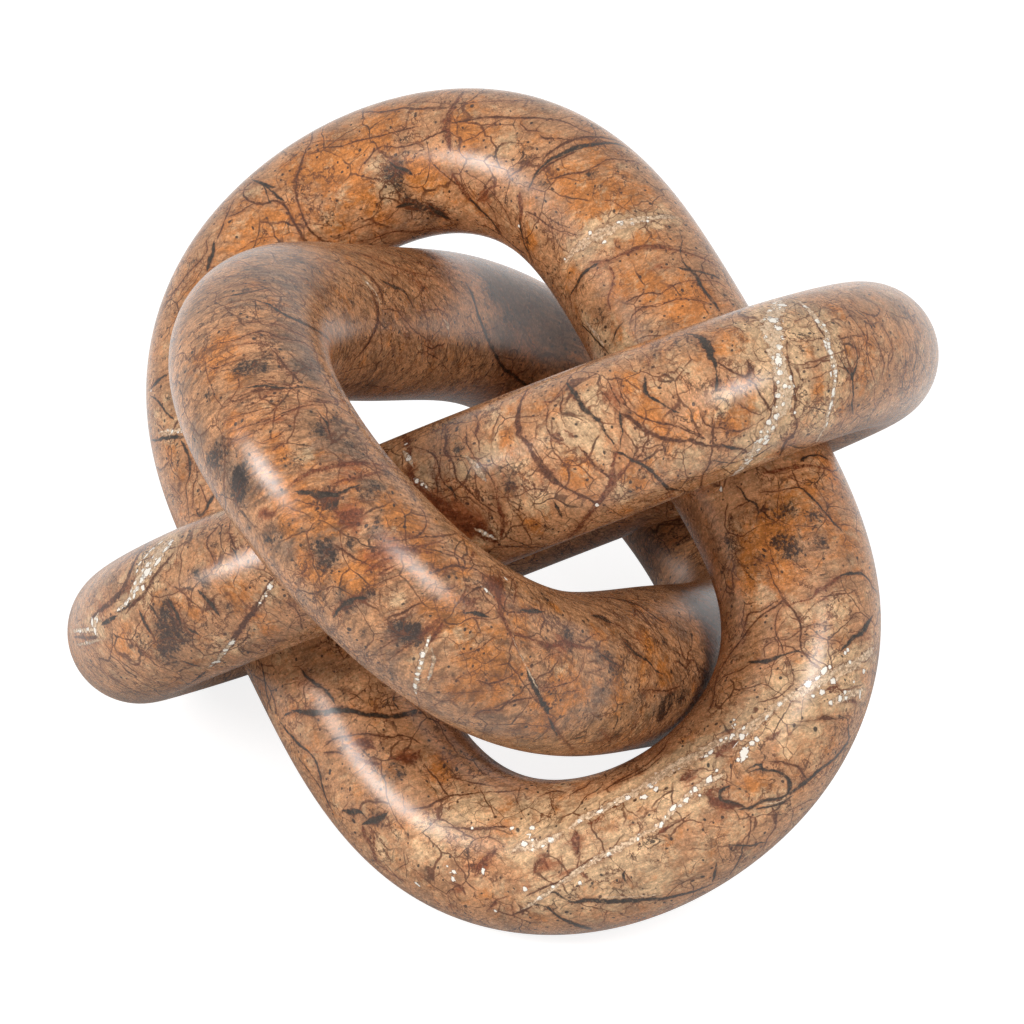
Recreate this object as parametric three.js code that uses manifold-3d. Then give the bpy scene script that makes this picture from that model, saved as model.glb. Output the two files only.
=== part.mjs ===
// Three oval stone links, laced together like a knot and standing on three link ends.
// Millimetres, +Z up, +X to the viewer's right, the viewer looks along +Y.
// The origin is on the surface that the sculpture stands on, under the middle of its box.
import * as THREE from "three";
import { ParametricGeometry } from "three/addons/geometries/ParametricGeometry.js";
import { mergeVertices } from "three/addons/utils/BufferGeometryUtils.js";
import Module from "manifold-3d";

// Sizes shared by the three links.
const SIDE_SPACING = 73.8;      // between the middles of a link's two long sides
const SIDE_THICKNESS = 25.7;    // of the stone along a link's sides
const END_THICKNESS = 24.1;     // of the stone round a link's ends
const END_PLAY = 4.4;           // free length left inside a link once its neighbour fills it
const SIDE_FLATNESS = 5.2;      // how far the long sides are drawn in from a plain ellipse
const END_STRETCH = 2.0;        // how far the ends are pushed out from a plain ellipse
const SEAT_GAP = 0.3;           // clearance where two links bear on each other
const FOOT_DEPTH = 0.5;         // stone lapped off the end that each link stands on

// The links are carved by hand, so each has a little more or less stone than the shared
// thickness: moreAtSides and moreAtEnds.
// heading: compass direction of its high end, counted from +X towards +Y.
// sideStep: shift of its middle across its heading.
// flatterRise and flatterRoll: how many degrees it has sunk from where it stands in a tight
// knot, for each stone's thickness of free width that it has inside.
// bearing: the end that bears on the neighbour lying in it, +1 the high end, -1 the low end.
const LINKS = [
  {
    name: "upright_link",
    moreAtSides: 1.1,
    moreAtEnds: 0,
    heading: 118.5,
    sideStep: 0.1,
    flatterRise: 5.34,
    flatterRoll: 7.53,
    bearing: -1,
    holds: "front_link",
    stone: 0xb4703c,
  },
  {
    name: "front_link",
    moreAtSides: 0,
    moreAtEnds: 0.6,
    heading: 240.4,
    sideStep: 1.3,
    flatterRise: 4.36,
    flatterRoll: 5.98,
    bearing: -1,
    holds: "slanted_link",
    stone: 0xa8683c,
  },
  {
    name: "slanted_link",
    moreAtSides: -1.0,
    moreAtEnds: -0.7,
    heading: 355.2,
    sideStep: 0.7,
    flatterRise: 4.11,
    flatterRoll: 7.39,
    bearing: 1,
    holds: "upright_link",
    stone: 0xb07440,
  },
];

// In the tightest knot the three links stand square to each other, so each one's length and
// width slope alike.
const TIGHT_RISE = Math.asin(1 / Math.sqrt(3));
const TIGHT_ROLL = Math.PI / 4;

// Fineness of the meshes and of the search for the places where links touch.
const STEPS_ALONG = 88;
const STEPS_AROUND = 22;
const SEARCH_POINTS = 240;

const TURN = 2 * Math.PI;
const linkNamed = (name) => LINKS.find((link) => link.name === name);
const sideThickness = (link) => SIDE_THICKNESS + link.moreAtSides;
const endThickness = (link) => END_THICKNESS + link.moreAtEnds;

// A link is long enough inside for the neighbour's two sides, its own ends and the play.
const stoneAcross = LINKS.map((link) => endThickness(link) + sideThickness(linkNamed(link.holds)));
const END_SPACING = SIDE_SPACING + Math.max(...stoneAcross) + END_PLAY;

// Middle line of a link, flat in its own XY plane, with its length along X.
function middleLine(turn, target) {
  const length = END_SPACING / 2 - END_STRETCH;
  const width = SIDE_SPACING / 2 + SIDE_FLATNESS;
  target.x = length * Math.cos(turn) + END_STRETCH * Math.cos(3 * turn);
  target.y = width * Math.sin(turn) + SIDE_FLATNESS * Math.sin(3 * turn);
  target.z = 0;
  return target;
}

// Direction straight out of the oval, in its own plane.
function outward(turn, target) {
  const length = END_SPACING / 2 - END_STRETCH;
  const width = SIDE_SPACING / 2 + SIDE_FLATNESS;
  target.x = width * Math.cos(turn) + 3 * SIDE_FLATNESS * Math.cos(3 * turn);
  target.y = length * Math.sin(turn) + 3 * END_STRETCH * Math.sin(3 * turn);
  target.z = 0;
  return target.normalize();
}

// Half the stone's thickness, which eases from the sides to the ends.
function stoneRadius(link, turn) {
  const towardsEnd = Math.cos(turn) ** 2;
  return THREE.MathUtils.lerp(sideThickness(link), endThickness(link), towardsEnd) / 2;
}

// Closed skin of a link: a round section carried once round the middle line.
function linkSkin(link) {
  const middle = new THREE.Vector3();
  const out = new THREE.Vector3();
  const skin = (along, around, target) => {
    const turn = along * TURN;
    middleLine(turn, middle);
    outward(turn, out);
    const radius = stoneRadius(link, turn);
    target.copy(middle).addScaledVector(out, radius * Math.cos(around * TURN));
    target.z = radius * Math.sin(around * TURN);
  };
  return new ParametricGeometry(skin, STEPS_ALONG, STEPS_AROUND);
}

// Lays a link along its heading, raises its high end and rolls it about its length. The more
// free width the links have, the flatter they settle.
function orient(holder, link) {
  const { degToRad } = THREE.MathUtils;
  const freeWidth = (SIDE_SPACING - sideThickness(link)) / sideThickness(link);
  const rise = TIGHT_RISE - degToRad(link.flatterRise) * freeWidth;
  const roll = TIGHT_ROLL - degToRad(link.flatterRoll) * freeWidth;
  holder.rotation.set(-roll, -rise, degToRad(link.heading), "ZYX");
}

// Puts a link's middle at a slide along its heading, and its lowest stone just into the table.
function stand(holder, link, slide) {
  const heading = THREE.MathUtils.degToRad(link.heading);
  const x = slide * Math.cos(heading) - link.sideStep * Math.sin(heading);
  const y = slide * Math.sin(heading) + link.sideStep * Math.cos(heading);
  holder.position.set(x, y, 0);
  const lowest = Math.min(...middlePoints(holder, link).map((point) => point.place.z - point.radius));
  holder.position.z = -lowest - FOOT_DEPTH;
}

// Points along a link's middle line where it now stands, each with the stone's radius there.
function middlePoints(holder, link) {
  holder.updateMatrixWorld(true);
  return Array.from({ length: SEARCH_POINTS }, (_, index) => {
    const turn = (index / SEARCH_POINTS) * TURN;
    const place = middleLine(turn, new THREE.Vector3()).applyMatrix4(holder.matrixWorld);
    return { turn, place, radius: stoneRadius(link, turn) };
  });
}

// Clearance between a link's bearing end and the near side of the neighbour lying in it.
function bearingGap(holders, link) {
  const inner = linkNamed(link.holds);
  const end = middlePoints(holders[LINKS.indexOf(link)], link)
    .filter((point) => link.bearing * Math.cos(point.turn) > 0);
  const side = middlePoints(holders[LINKS.indexOf(inner)], inner)
    .filter((point) => link.bearing * Math.sin(point.turn) < 0);
  let least = Infinity;
  for (const a of end) {
    for (const b of side) {
      least = Math.min(least, a.place.distanceTo(b.place) - a.radius - b.radius);
    }
  }
  return least;
}

// Slides each link along its heading until its bearing end meets the neighbour inside it. As
// that moves what the next link bears on, it goes on until every gap is within a hundredth.
function seatLinks(holders) {
  const slides = LINKS.map((link) => -link.bearing * END_PLAY);
  LINKS.forEach((link, index) => stand(holders[index], link, slides[index]));
  let furthest = Infinity;
  while (furthest > SEAT_GAP / 100) {
    furthest = 0;
    LINKS.forEach((link, index) => {
      const missing = SEAT_GAP - bearingGap(holders, link);
      slides[index] += link.bearing * missing;
      stand(holders[index], link, slides[index]);
      furthest = Math.max(furthest, Math.abs(missing));
    });
  }
}

const wasm = await Module();
wasm.setup();

// Turns a closed three.js mesh into a solid that can be cut.
function toSolid(geometry) {
  const bare = geometry.clone();
  bare.deleteAttribute("normal");
  bare.deleteAttribute("uv");
  const merged = mergeVertices(bare, 1e-4);
  return new wasm.Manifold(new wasm.Mesh({
    numProp: 3,
    vertProperties: new Float32Array(merged.attributes.position.array),
    triVerts: new Uint32Array(merged.index.array),
  }));
}

function toGeometry(solid) {
  const mesh = solid.getMesh();
  const geometry = new THREE.BufferGeometry();
  geometry.setAttribute("position", new THREE.BufferAttribute(mesh.vertProperties, 3));
  geometry.setIndex(new THREE.BufferAttribute(mesh.triVerts, 1));
  geometry.computeVertexNormals();
  return geometry;
}

// The space under the table top, seen from a link that stands on it.
function underTable(holder) {
  const room = 2 * END_SPACING;
  const block = new THREE.BoxGeometry(room, room, room);
  block.translate(0, 0, -room / 2);
  block.applyMatrix4(holder.matrixWorld.clone().invert());
  return block;
}

function buildLink(link, holder) {
  const standing = toSolid(linkSkin(link)).subtract(toSolid(underTable(holder)));
  const stone = new THREE.MeshStandardMaterial({ color: link.stone, roughness: 0.3, metalness: 0 });
  const mesh = new THREE.Mesh(toGeometry(standing), stone);
  mesh.name = link.name;
  return mesh;
}

const sculpture = new THREE.Group();
const holders = LINKS.map((link) => {
  const holder = new THREE.Group();
  orient(holder, link);
  sculpture.add(holder);
  return holder;
});
seatLinks(holders);
LINKS.forEach((link, index) => {
  holders[index].updateMatrixWorld(true);
  holders[index].add(buildLink(link, holders[index]));
});

// The finished sculpture is moved over the table so that its box is centred on the origin.
const box = new THREE.Box3().setFromObject(sculpture, true);
sculpture.position.x = -(box.min.x + box.max.x) / 2;
sculpture.position.y = -(box.min.y + box.max.y) / 2;
sculpture.updateMatrixWorld(true);

export default sculpture;
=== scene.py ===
"""Three interlaced oval links of veined brown marble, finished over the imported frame."""

import math
import random

import bpy
import numpy as np
from mathutils import Matrix, Quaternion, Vector
from mathutils.bvhtree import BVHTree


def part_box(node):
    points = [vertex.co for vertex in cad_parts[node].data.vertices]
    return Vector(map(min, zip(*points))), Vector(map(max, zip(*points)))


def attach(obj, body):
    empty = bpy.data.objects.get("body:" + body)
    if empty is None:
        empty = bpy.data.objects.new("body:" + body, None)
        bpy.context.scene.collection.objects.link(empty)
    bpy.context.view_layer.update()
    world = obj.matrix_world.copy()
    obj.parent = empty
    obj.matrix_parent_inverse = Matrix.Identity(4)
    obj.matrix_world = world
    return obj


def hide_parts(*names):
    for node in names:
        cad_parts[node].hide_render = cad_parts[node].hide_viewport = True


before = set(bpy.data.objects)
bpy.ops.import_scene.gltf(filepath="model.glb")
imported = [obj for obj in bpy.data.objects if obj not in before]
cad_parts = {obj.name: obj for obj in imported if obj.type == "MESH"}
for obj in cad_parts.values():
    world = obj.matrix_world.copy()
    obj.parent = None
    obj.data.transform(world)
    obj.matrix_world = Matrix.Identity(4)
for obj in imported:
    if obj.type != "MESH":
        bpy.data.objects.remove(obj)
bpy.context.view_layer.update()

MM = 0.001

# Shape shared by the three links, as in the part: the middle line of each is a drawn-in oval.
SIDE_SPACING = 73.8 * MM
END_SPACING = 128.4 * MM
SIDE_FLATNESS = 5.2 * MM
END_STRETCH = 2.0 * MM
STEPS_ALONG = 560
STEPS_AROUND = 160

# How far hand polishing has left the stone below a perfect round section, at most.
POLISH_WAVE = 0.16 * MM

# side and end: thickness of the stone along the sides and round the ends.
# heading, rise and roll: how the link lies, in degrees, as in the part.
LINKS = {
    "upright_link": {
        "body": "upright", "side": 26.8 * MM, "end": 24.1 * MM,
        "heading": 118.5, "rise": 25.9, "roll": -31.8,
    },
    "front_link": {
        "body": "front", "side": 25.7 * MM, "end": 24.7 * MM,
        "heading": 240.4, "rise": 27.1, "roll": -33.8,
    },
    "slanted_link": {
        "body": "slanted", "side": 24.7 * MM, "end": 23.4 * MM,
        "heading": 355.2, "rise": 27.1, "roll": -30.3,
    },
}

# Room left round the flat map of a link's skin.
MAP_MARGIN = 0.01

# The photograph's camera: where it stands, what it looks at, and how much it takes in.
CAMERA_AT = Vector((0.0017, -0.5843, 0.4104))
CAMERA_LOOKS_AT = Vector((0.0021, -0.0008, 0.0463))
FRAME_PIXELS = 1024
FOCAL_PIXELS = 4235
SENSOR = 36.0

# Light of the room on the stone, where 1 is what it shows.
ROOM_LIGHT = 0.30

# Softboxes: place, side, watts, and whether the stone mirrors them.
LAMPS = {
    "left_softbox": ((-0.49, -0.27, 0.34), 0.17, 2.18, True),
    "right_softbox": ((0.30, -0.36, 0.45), 0.16, 1.62, True),
    "back_softbox": ((0.10, 0.62, 0.13), 0.26, 1.15, False),
    "low_fill": ((0.04, -0.60, 0.09), 0.34, 0.52, False),
}
LAMPS_AIM_AT = Vector((0, 0, 0.05))
LAMP_COLOUR = (1, 0.985, 0.97)

FLOOR_REACH = 4.0
FLOOR_DROP = 0.2 * MM
FLOOR_GREY = 0.42
FLOOR_ROUGHNESS = 0.9
FLOOR_GLOW = 0.84

# The floor's mirror image is painted dim under the sculpture, as a painted shadow: round which
# place, over what distances it comes up, and what share of it is left there.
SHADOW_MIDDLE = (0, 0.03, 0)
SHADOW_REACH = (0.07, 0.125)
SHADOW_GLOW = 0.10


# Shapes


def pose_matrix(link):
    """Lays a link along its heading, raises its high end and rolls it about its length."""
    heading = Matrix.Rotation(math.radians(link["heading"]), 3, "Z")
    rise = Matrix.Rotation(math.radians(-link["rise"]), 3, "Y")
    roll = Matrix.Rotation(math.radians(link["roll"]), 3, "X")
    return np.array(heading @ rise @ roll)


def polish_wave(turn, around, seed):
    """Gentle unevenness of a hand-polished round section, from 0 to 1."""
    slow = np.sin(3 * turn + seed) * np.cos(around + 2 * seed)
    middle = np.sin(7 * turn - around + 3 * seed)
    quick = np.sin(13 * turn + 2 * around + 5 * seed)
    return 0.5 + 0.5 * (0.5 * slow + 0.3 * middle + 0.2 * quick)


def link_points(link, seed):
    """Points on a link's skin, turned as it lies, about its own middle."""
    turn = np.arange(STEPS_ALONG)[:, None] * math.tau / STEPS_ALONG
    around = np.arange(STEPS_AROUND)[None, :] * math.tau / STEPS_AROUND
    length = END_SPACING / 2 - END_STRETCH
    width = SIDE_SPACING / 2 + SIDE_FLATNESS
    middle_x = length * np.cos(turn) + END_STRETCH * np.cos(3 * turn)
    middle_y = width * np.sin(turn) + SIDE_FLATNESS * np.sin(3 * turn)
    out_x = width * np.cos(turn) + 3 * SIDE_FLATNESS * np.cos(3 * turn)
    out_y = length * np.sin(turn) + 3 * END_STRETCH * np.sin(3 * turn)
    size = np.hypot(out_x, out_y)
    radius = (link["side"] + (link["end"] - link["side"]) * np.cos(turn) ** 2) / 2
    radius = radius - POLISH_WAVE * polish_wave(turn, around, seed)
    x = middle_x + radius * np.cos(around) * out_x / size
    y = middle_y + radius * np.cos(around) * out_y / size
    z = radius * np.sin(around)
    grid = np.stack(np.broadcast_arrays(x, y, z), axis=-1).reshape(-1, 3)
    return grid @ pose_matrix(link).T


def seat_on_frame(points, node):
    """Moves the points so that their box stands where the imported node's does, feet lapped flat."""
    low, high = (np.array(corner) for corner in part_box(node))
    shift = (low + high - points.min(axis=0) - points.max(axis=0)) / 2
    shift[2] = high[2] - points[:, 2].max()
    placed = points + shift
    placed[:, 2] = np.maximum(placed[:, 2], low[2])
    return placed


def ring_faces():
    """Four-sided faces of a skin that closes on itself both ways."""
    along = np.arange(STEPS_ALONG)[:, None]
    around = np.arange(STEPS_AROUND)[None, :]
    next_along = (along + 1) % STEPS_ALONG
    next_around = (around + 1) % STEPS_AROUND
    corners = [
        along * STEPS_AROUND + around,
        next_along * STEPS_AROUND + around,
        next_along * STEPS_AROUND + next_around,
        along * STEPS_AROUND + next_around,
    ]
    return np.stack(corners, axis=-1).reshape(-1, 4)


def add_bake_map(mesh):
    """Flat map of the skin: round the ring across, in two rows one above the other."""
    along, around = np.divmod(np.arange(STEPS_ALONG * STEPS_AROUND), STEPS_AROUND)
    half = STEPS_ALONG // 2
    row = along // half
    corner_along = np.stack([along, along + 1, along + 1, along], axis=-1) - (row * half)[:, None]
    corner_around = np.stack([around, around, around + 1, around + 1], axis=-1)
    across = MAP_MARGIN + (1 - 2 * MAP_MARGIN) * corner_along / half
    up = 0.5 * row[:, None] + MAP_MARGIN
    up = up + (0.5 - 2 * MAP_MARGIN) * corner_around / STEPS_AROUND
    chart = mesh.uv_layers.new(name="OFBake")
    chart.data.foreach_set("uv", np.stack([across, up], axis=-1).ravel())


def make_link(node, link, seed):
    points = seat_on_frame(link_points(link, seed), node)
    faces = ring_faces().tolist()
    mesh = bpy.data.meshes.new(node + "_stone")
    mesh.from_pydata(points.tolist(), [], faces)
    mesh.polygons.foreach_set("use_smooth", [True] * len(mesh.polygons))
    mesh.update()
    add_bake_map(mesh)
    piece = bpy.data.objects.new(node + "_stone", mesh)
    bpy.context.scene.collection.objects.link(piece)
    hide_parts(node)
    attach(piece, link["body"])
    return piece


# Shader nodes


def add(tree, kind, inputs, output=0, **settings):
    """Adds a shader node with these inputs and settings, and gives one of its outputs."""
    node = tree.nodes.new(kind)
    for name, value in settings.items():
        setattr(node, name, value)
    for socket, value in inputs.items():
        if isinstance(value, bpy.types.NodeSocket):
            tree.links.new(value, node.inputs[socket])
        else:
            node.inputs[socket].default_value = value
    return node.outputs[output]


def calculate(tree, operation, first, second=0.0, clamp=False):
    inputs = {0: first, 1: second}
    return add(tree, "ShaderNodeMath", inputs, operation=operation, use_clamp=clamp)


def multiply(tree, first, second):
    return calculate(tree, "MULTIPLY", first, second)


def multiply_add(tree, value, factor, more):
    inputs = {0: value, 1: factor, 2: more}
    return add(tree, "ShaderNodeMath", inputs, operation="MULTIPLY_ADD")


def greater(tree, first, second):
    return calculate(tree, "MAXIMUM", first, second)


def difference(tree, first, second):
    """How far one value is from another."""
    return calculate(tree, "ABSOLUTE", calculate(tree, "SUBTRACT", first, second))


def combine(tree, operation, first, second):
    return add(tree, "ShaderNodeVectorMath", {0: first, 1: second}, operation=operation)


def shifted(tree, place, shift):
    return combine(tree, "ADD", place, shift)


def measure(tree, operation, first, second=(0, 0, 0)):
    inputs = {0: first, 1: second}
    return add(tree, "ShaderNodeVectorMath", inputs, output="Value", operation=operation)


def scaled(tree, vector, factor):
    inputs = {0: vector, "Scale": factor}
    return add(tree, "ShaderNodeVectorMath", inputs, operation="SCALE")


def step(tree, value, start, end, low=0.0, high=1.0):
    """Eases from low to high as value goes from start to end."""
    inputs = {"Value": value, "From Min": start, "From Max": end, "To Min": low, "To Max": high}
    return add(tree, "ShaderNodeMapRange", inputs, interpolation_type="SMOOTHSTEP")


def noise(tree, place, size, detail=3.0, roughness=0.5, output=0):
    """Noise of this size. More detail and roughness bring out finer grain in it."""
    inputs ={"Vector": place, "Scale": 1 / size, "Detail": detail, "Roughness": roughness}
    return add(tree, "ShaderNodeTexNoise", inputs, output=output)


def cells(tree, place, size, output, feature="F1"):
    inputs = {"Vector": place, "Scale": 1 / size}
    return add(tree, "ShaderNodeTexVoronoi", inputs, output=output, feature=feature)


def cell_chance(tree, place, size):
    """A number from 0 to 1 that is the cell's own."""
    return measure(tree, "DOT_PRODUCT", cells(tree, place, size, "Color"), (1, 0, 0))


def blend(tree, factor, first, second, kind="MIX"):
    inputs = {0: factor, 6: first, 7: second}
    return add(tree, "ShaderNodeMix", inputs, output=2, data_type="RGBA", blend_type=kind)


def blend_values(tree, factor, first, second):
    return add(tree, "ShaderNodeMix", {0: factor, 2: first, 3: second})


def wobble(tree, place, size, amount, detail):
    """Moves a place by up to about amount, in waves of that size."""
    waves = noise(tree, place, size, detail, output="Color")
    shift = combine(tree, "SUBTRACT", waves, (0.5, 0.5, 0.5))
    return shifted(tree, place, scaled(tree, shift, 2 * amount))


def object_place(tree):
    return add(tree, "ShaderNodeTexCoord", {}, output="Object")


# Camera, floor and light


def add_camera():
    data = bpy.data.cameras.new("camera")
    data.sensor_width = SENSOR
    data.lens = FOCAL_PIXELS / FRAME_PIXELS * SENSOR
    camera = bpy.data.objects.new("camera", data)
    bpy.context.scene.collection.objects.link(camera)
    camera.location = CAMERA_AT
    camera.rotation_euler = (CAMERA_LOOKS_AT - CAMERA_AT).to_track_quat("-Z", "Y").to_euler()
    bpy.context.scene.camera = camera


def add_lamp(name, place, side, power, mirrored):
    """A square softbox that faces the sculpture."""
    data = bpy.data.lights.new(name, "AREA")
    data.size = side
    data.energy = power
    data.color = LAMP_COLOUR
    lamp = bpy.data.objects.new(name, data)
    lamp.visible_glossy = mirrored
    bpy.context.scene.collection.objects.link(lamp)
    lamp.location = place
    lamp.rotation_euler = (LAMPS_AIM_AT - lamp.location).to_track_quat("-Z", "Y").to_euler()


def seen_straight(tree, path):
    """1 for what the camera sees, also through glass."""
    return greater(tree, path.outputs["Is Camera Ray"], path.outputs["Is Transmission Ray"])


def add_room():
    """White all round, which lights the stone less than it shows."""
    world = bpy.data.worlds.new("room")
    bpy.context.scene.world = world
    world.use_nodes = True
    tree = world.node_tree
    background = tree.nodes["Background"]
    background.inputs["Color"].default_value = (1, 1, 1, 1)
    path = tree.nodes.new("ShaderNodeLightPath")
    seen = greater(tree, seen_straight(tree, path), path.outputs["Is Glossy Ray"])
    strength = multiply_add(tree, seen, 1 - ROOM_LIGHT, ROOM_LIGHT)
    tree.links.new(strength, background.inputs["Strength"])


def floor_material():
    """Grey for the light that falls on it, with a glow that makes it show nearly white."""
    material = bpy.data.materials.new("floor")
    material.use_nodes = True
    tree = material.node_tree
    shader = tree.nodes["Principled BSDF"]
    shader.inputs["Base Color"].default_value = (FLOOR_GREY, FLOOR_GREY, FLOOR_GREY, 1)
    shader.inputs["Roughness"].default_value = FLOOR_ROUGHNESS
    shader.inputs["Specular IOR Level"].default_value = 0.0
    shader.inputs["Emission Color"].default_value = (1, 1, 1, 1)
    # Painted shadow: the glow that the stone mirrors is turned down near the middle under the sculpture.
    away = measure(tree, "DISTANCE", object_place(tree), SHADOW_MIDDLE)
    lit = step(tree, away, *SHADOW_REACH, SHADOW_GLOW, 1.0)
    path = tree.nodes.new("ShaderNodeLightPath")
    mirrored = multiply(tree, path.outputs["Is Glossy Ray"], lit)
    shown = greater(tree, seen_straight(tree, path), mirrored)
    tree.links.new(multiply(tree, shown, FLOOR_GLOW), shader.inputs["Emission Strength"])
    return material


def add_floor():
    """Pale floor that goes on to the white room and keeps the sculpture's shadow."""
    mesh = bpy.data.meshes.new("floor")
    reach = FLOOR_REACH
    corners = [(-reach, -reach, 0), (reach, -reach, 0), (reach, reach, 0), (-reach, reach, 0)]
    mesh.from_pydata(corners, [], [(0, 1, 2, 3)])
    mesh.materials.append(floor_material())
    floor = bpy.data.objects.new("floor", mesh)
    bpy.context.scene.collection.objects.link(floor)
    floor.location.z = -FLOOR_DROP
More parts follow.
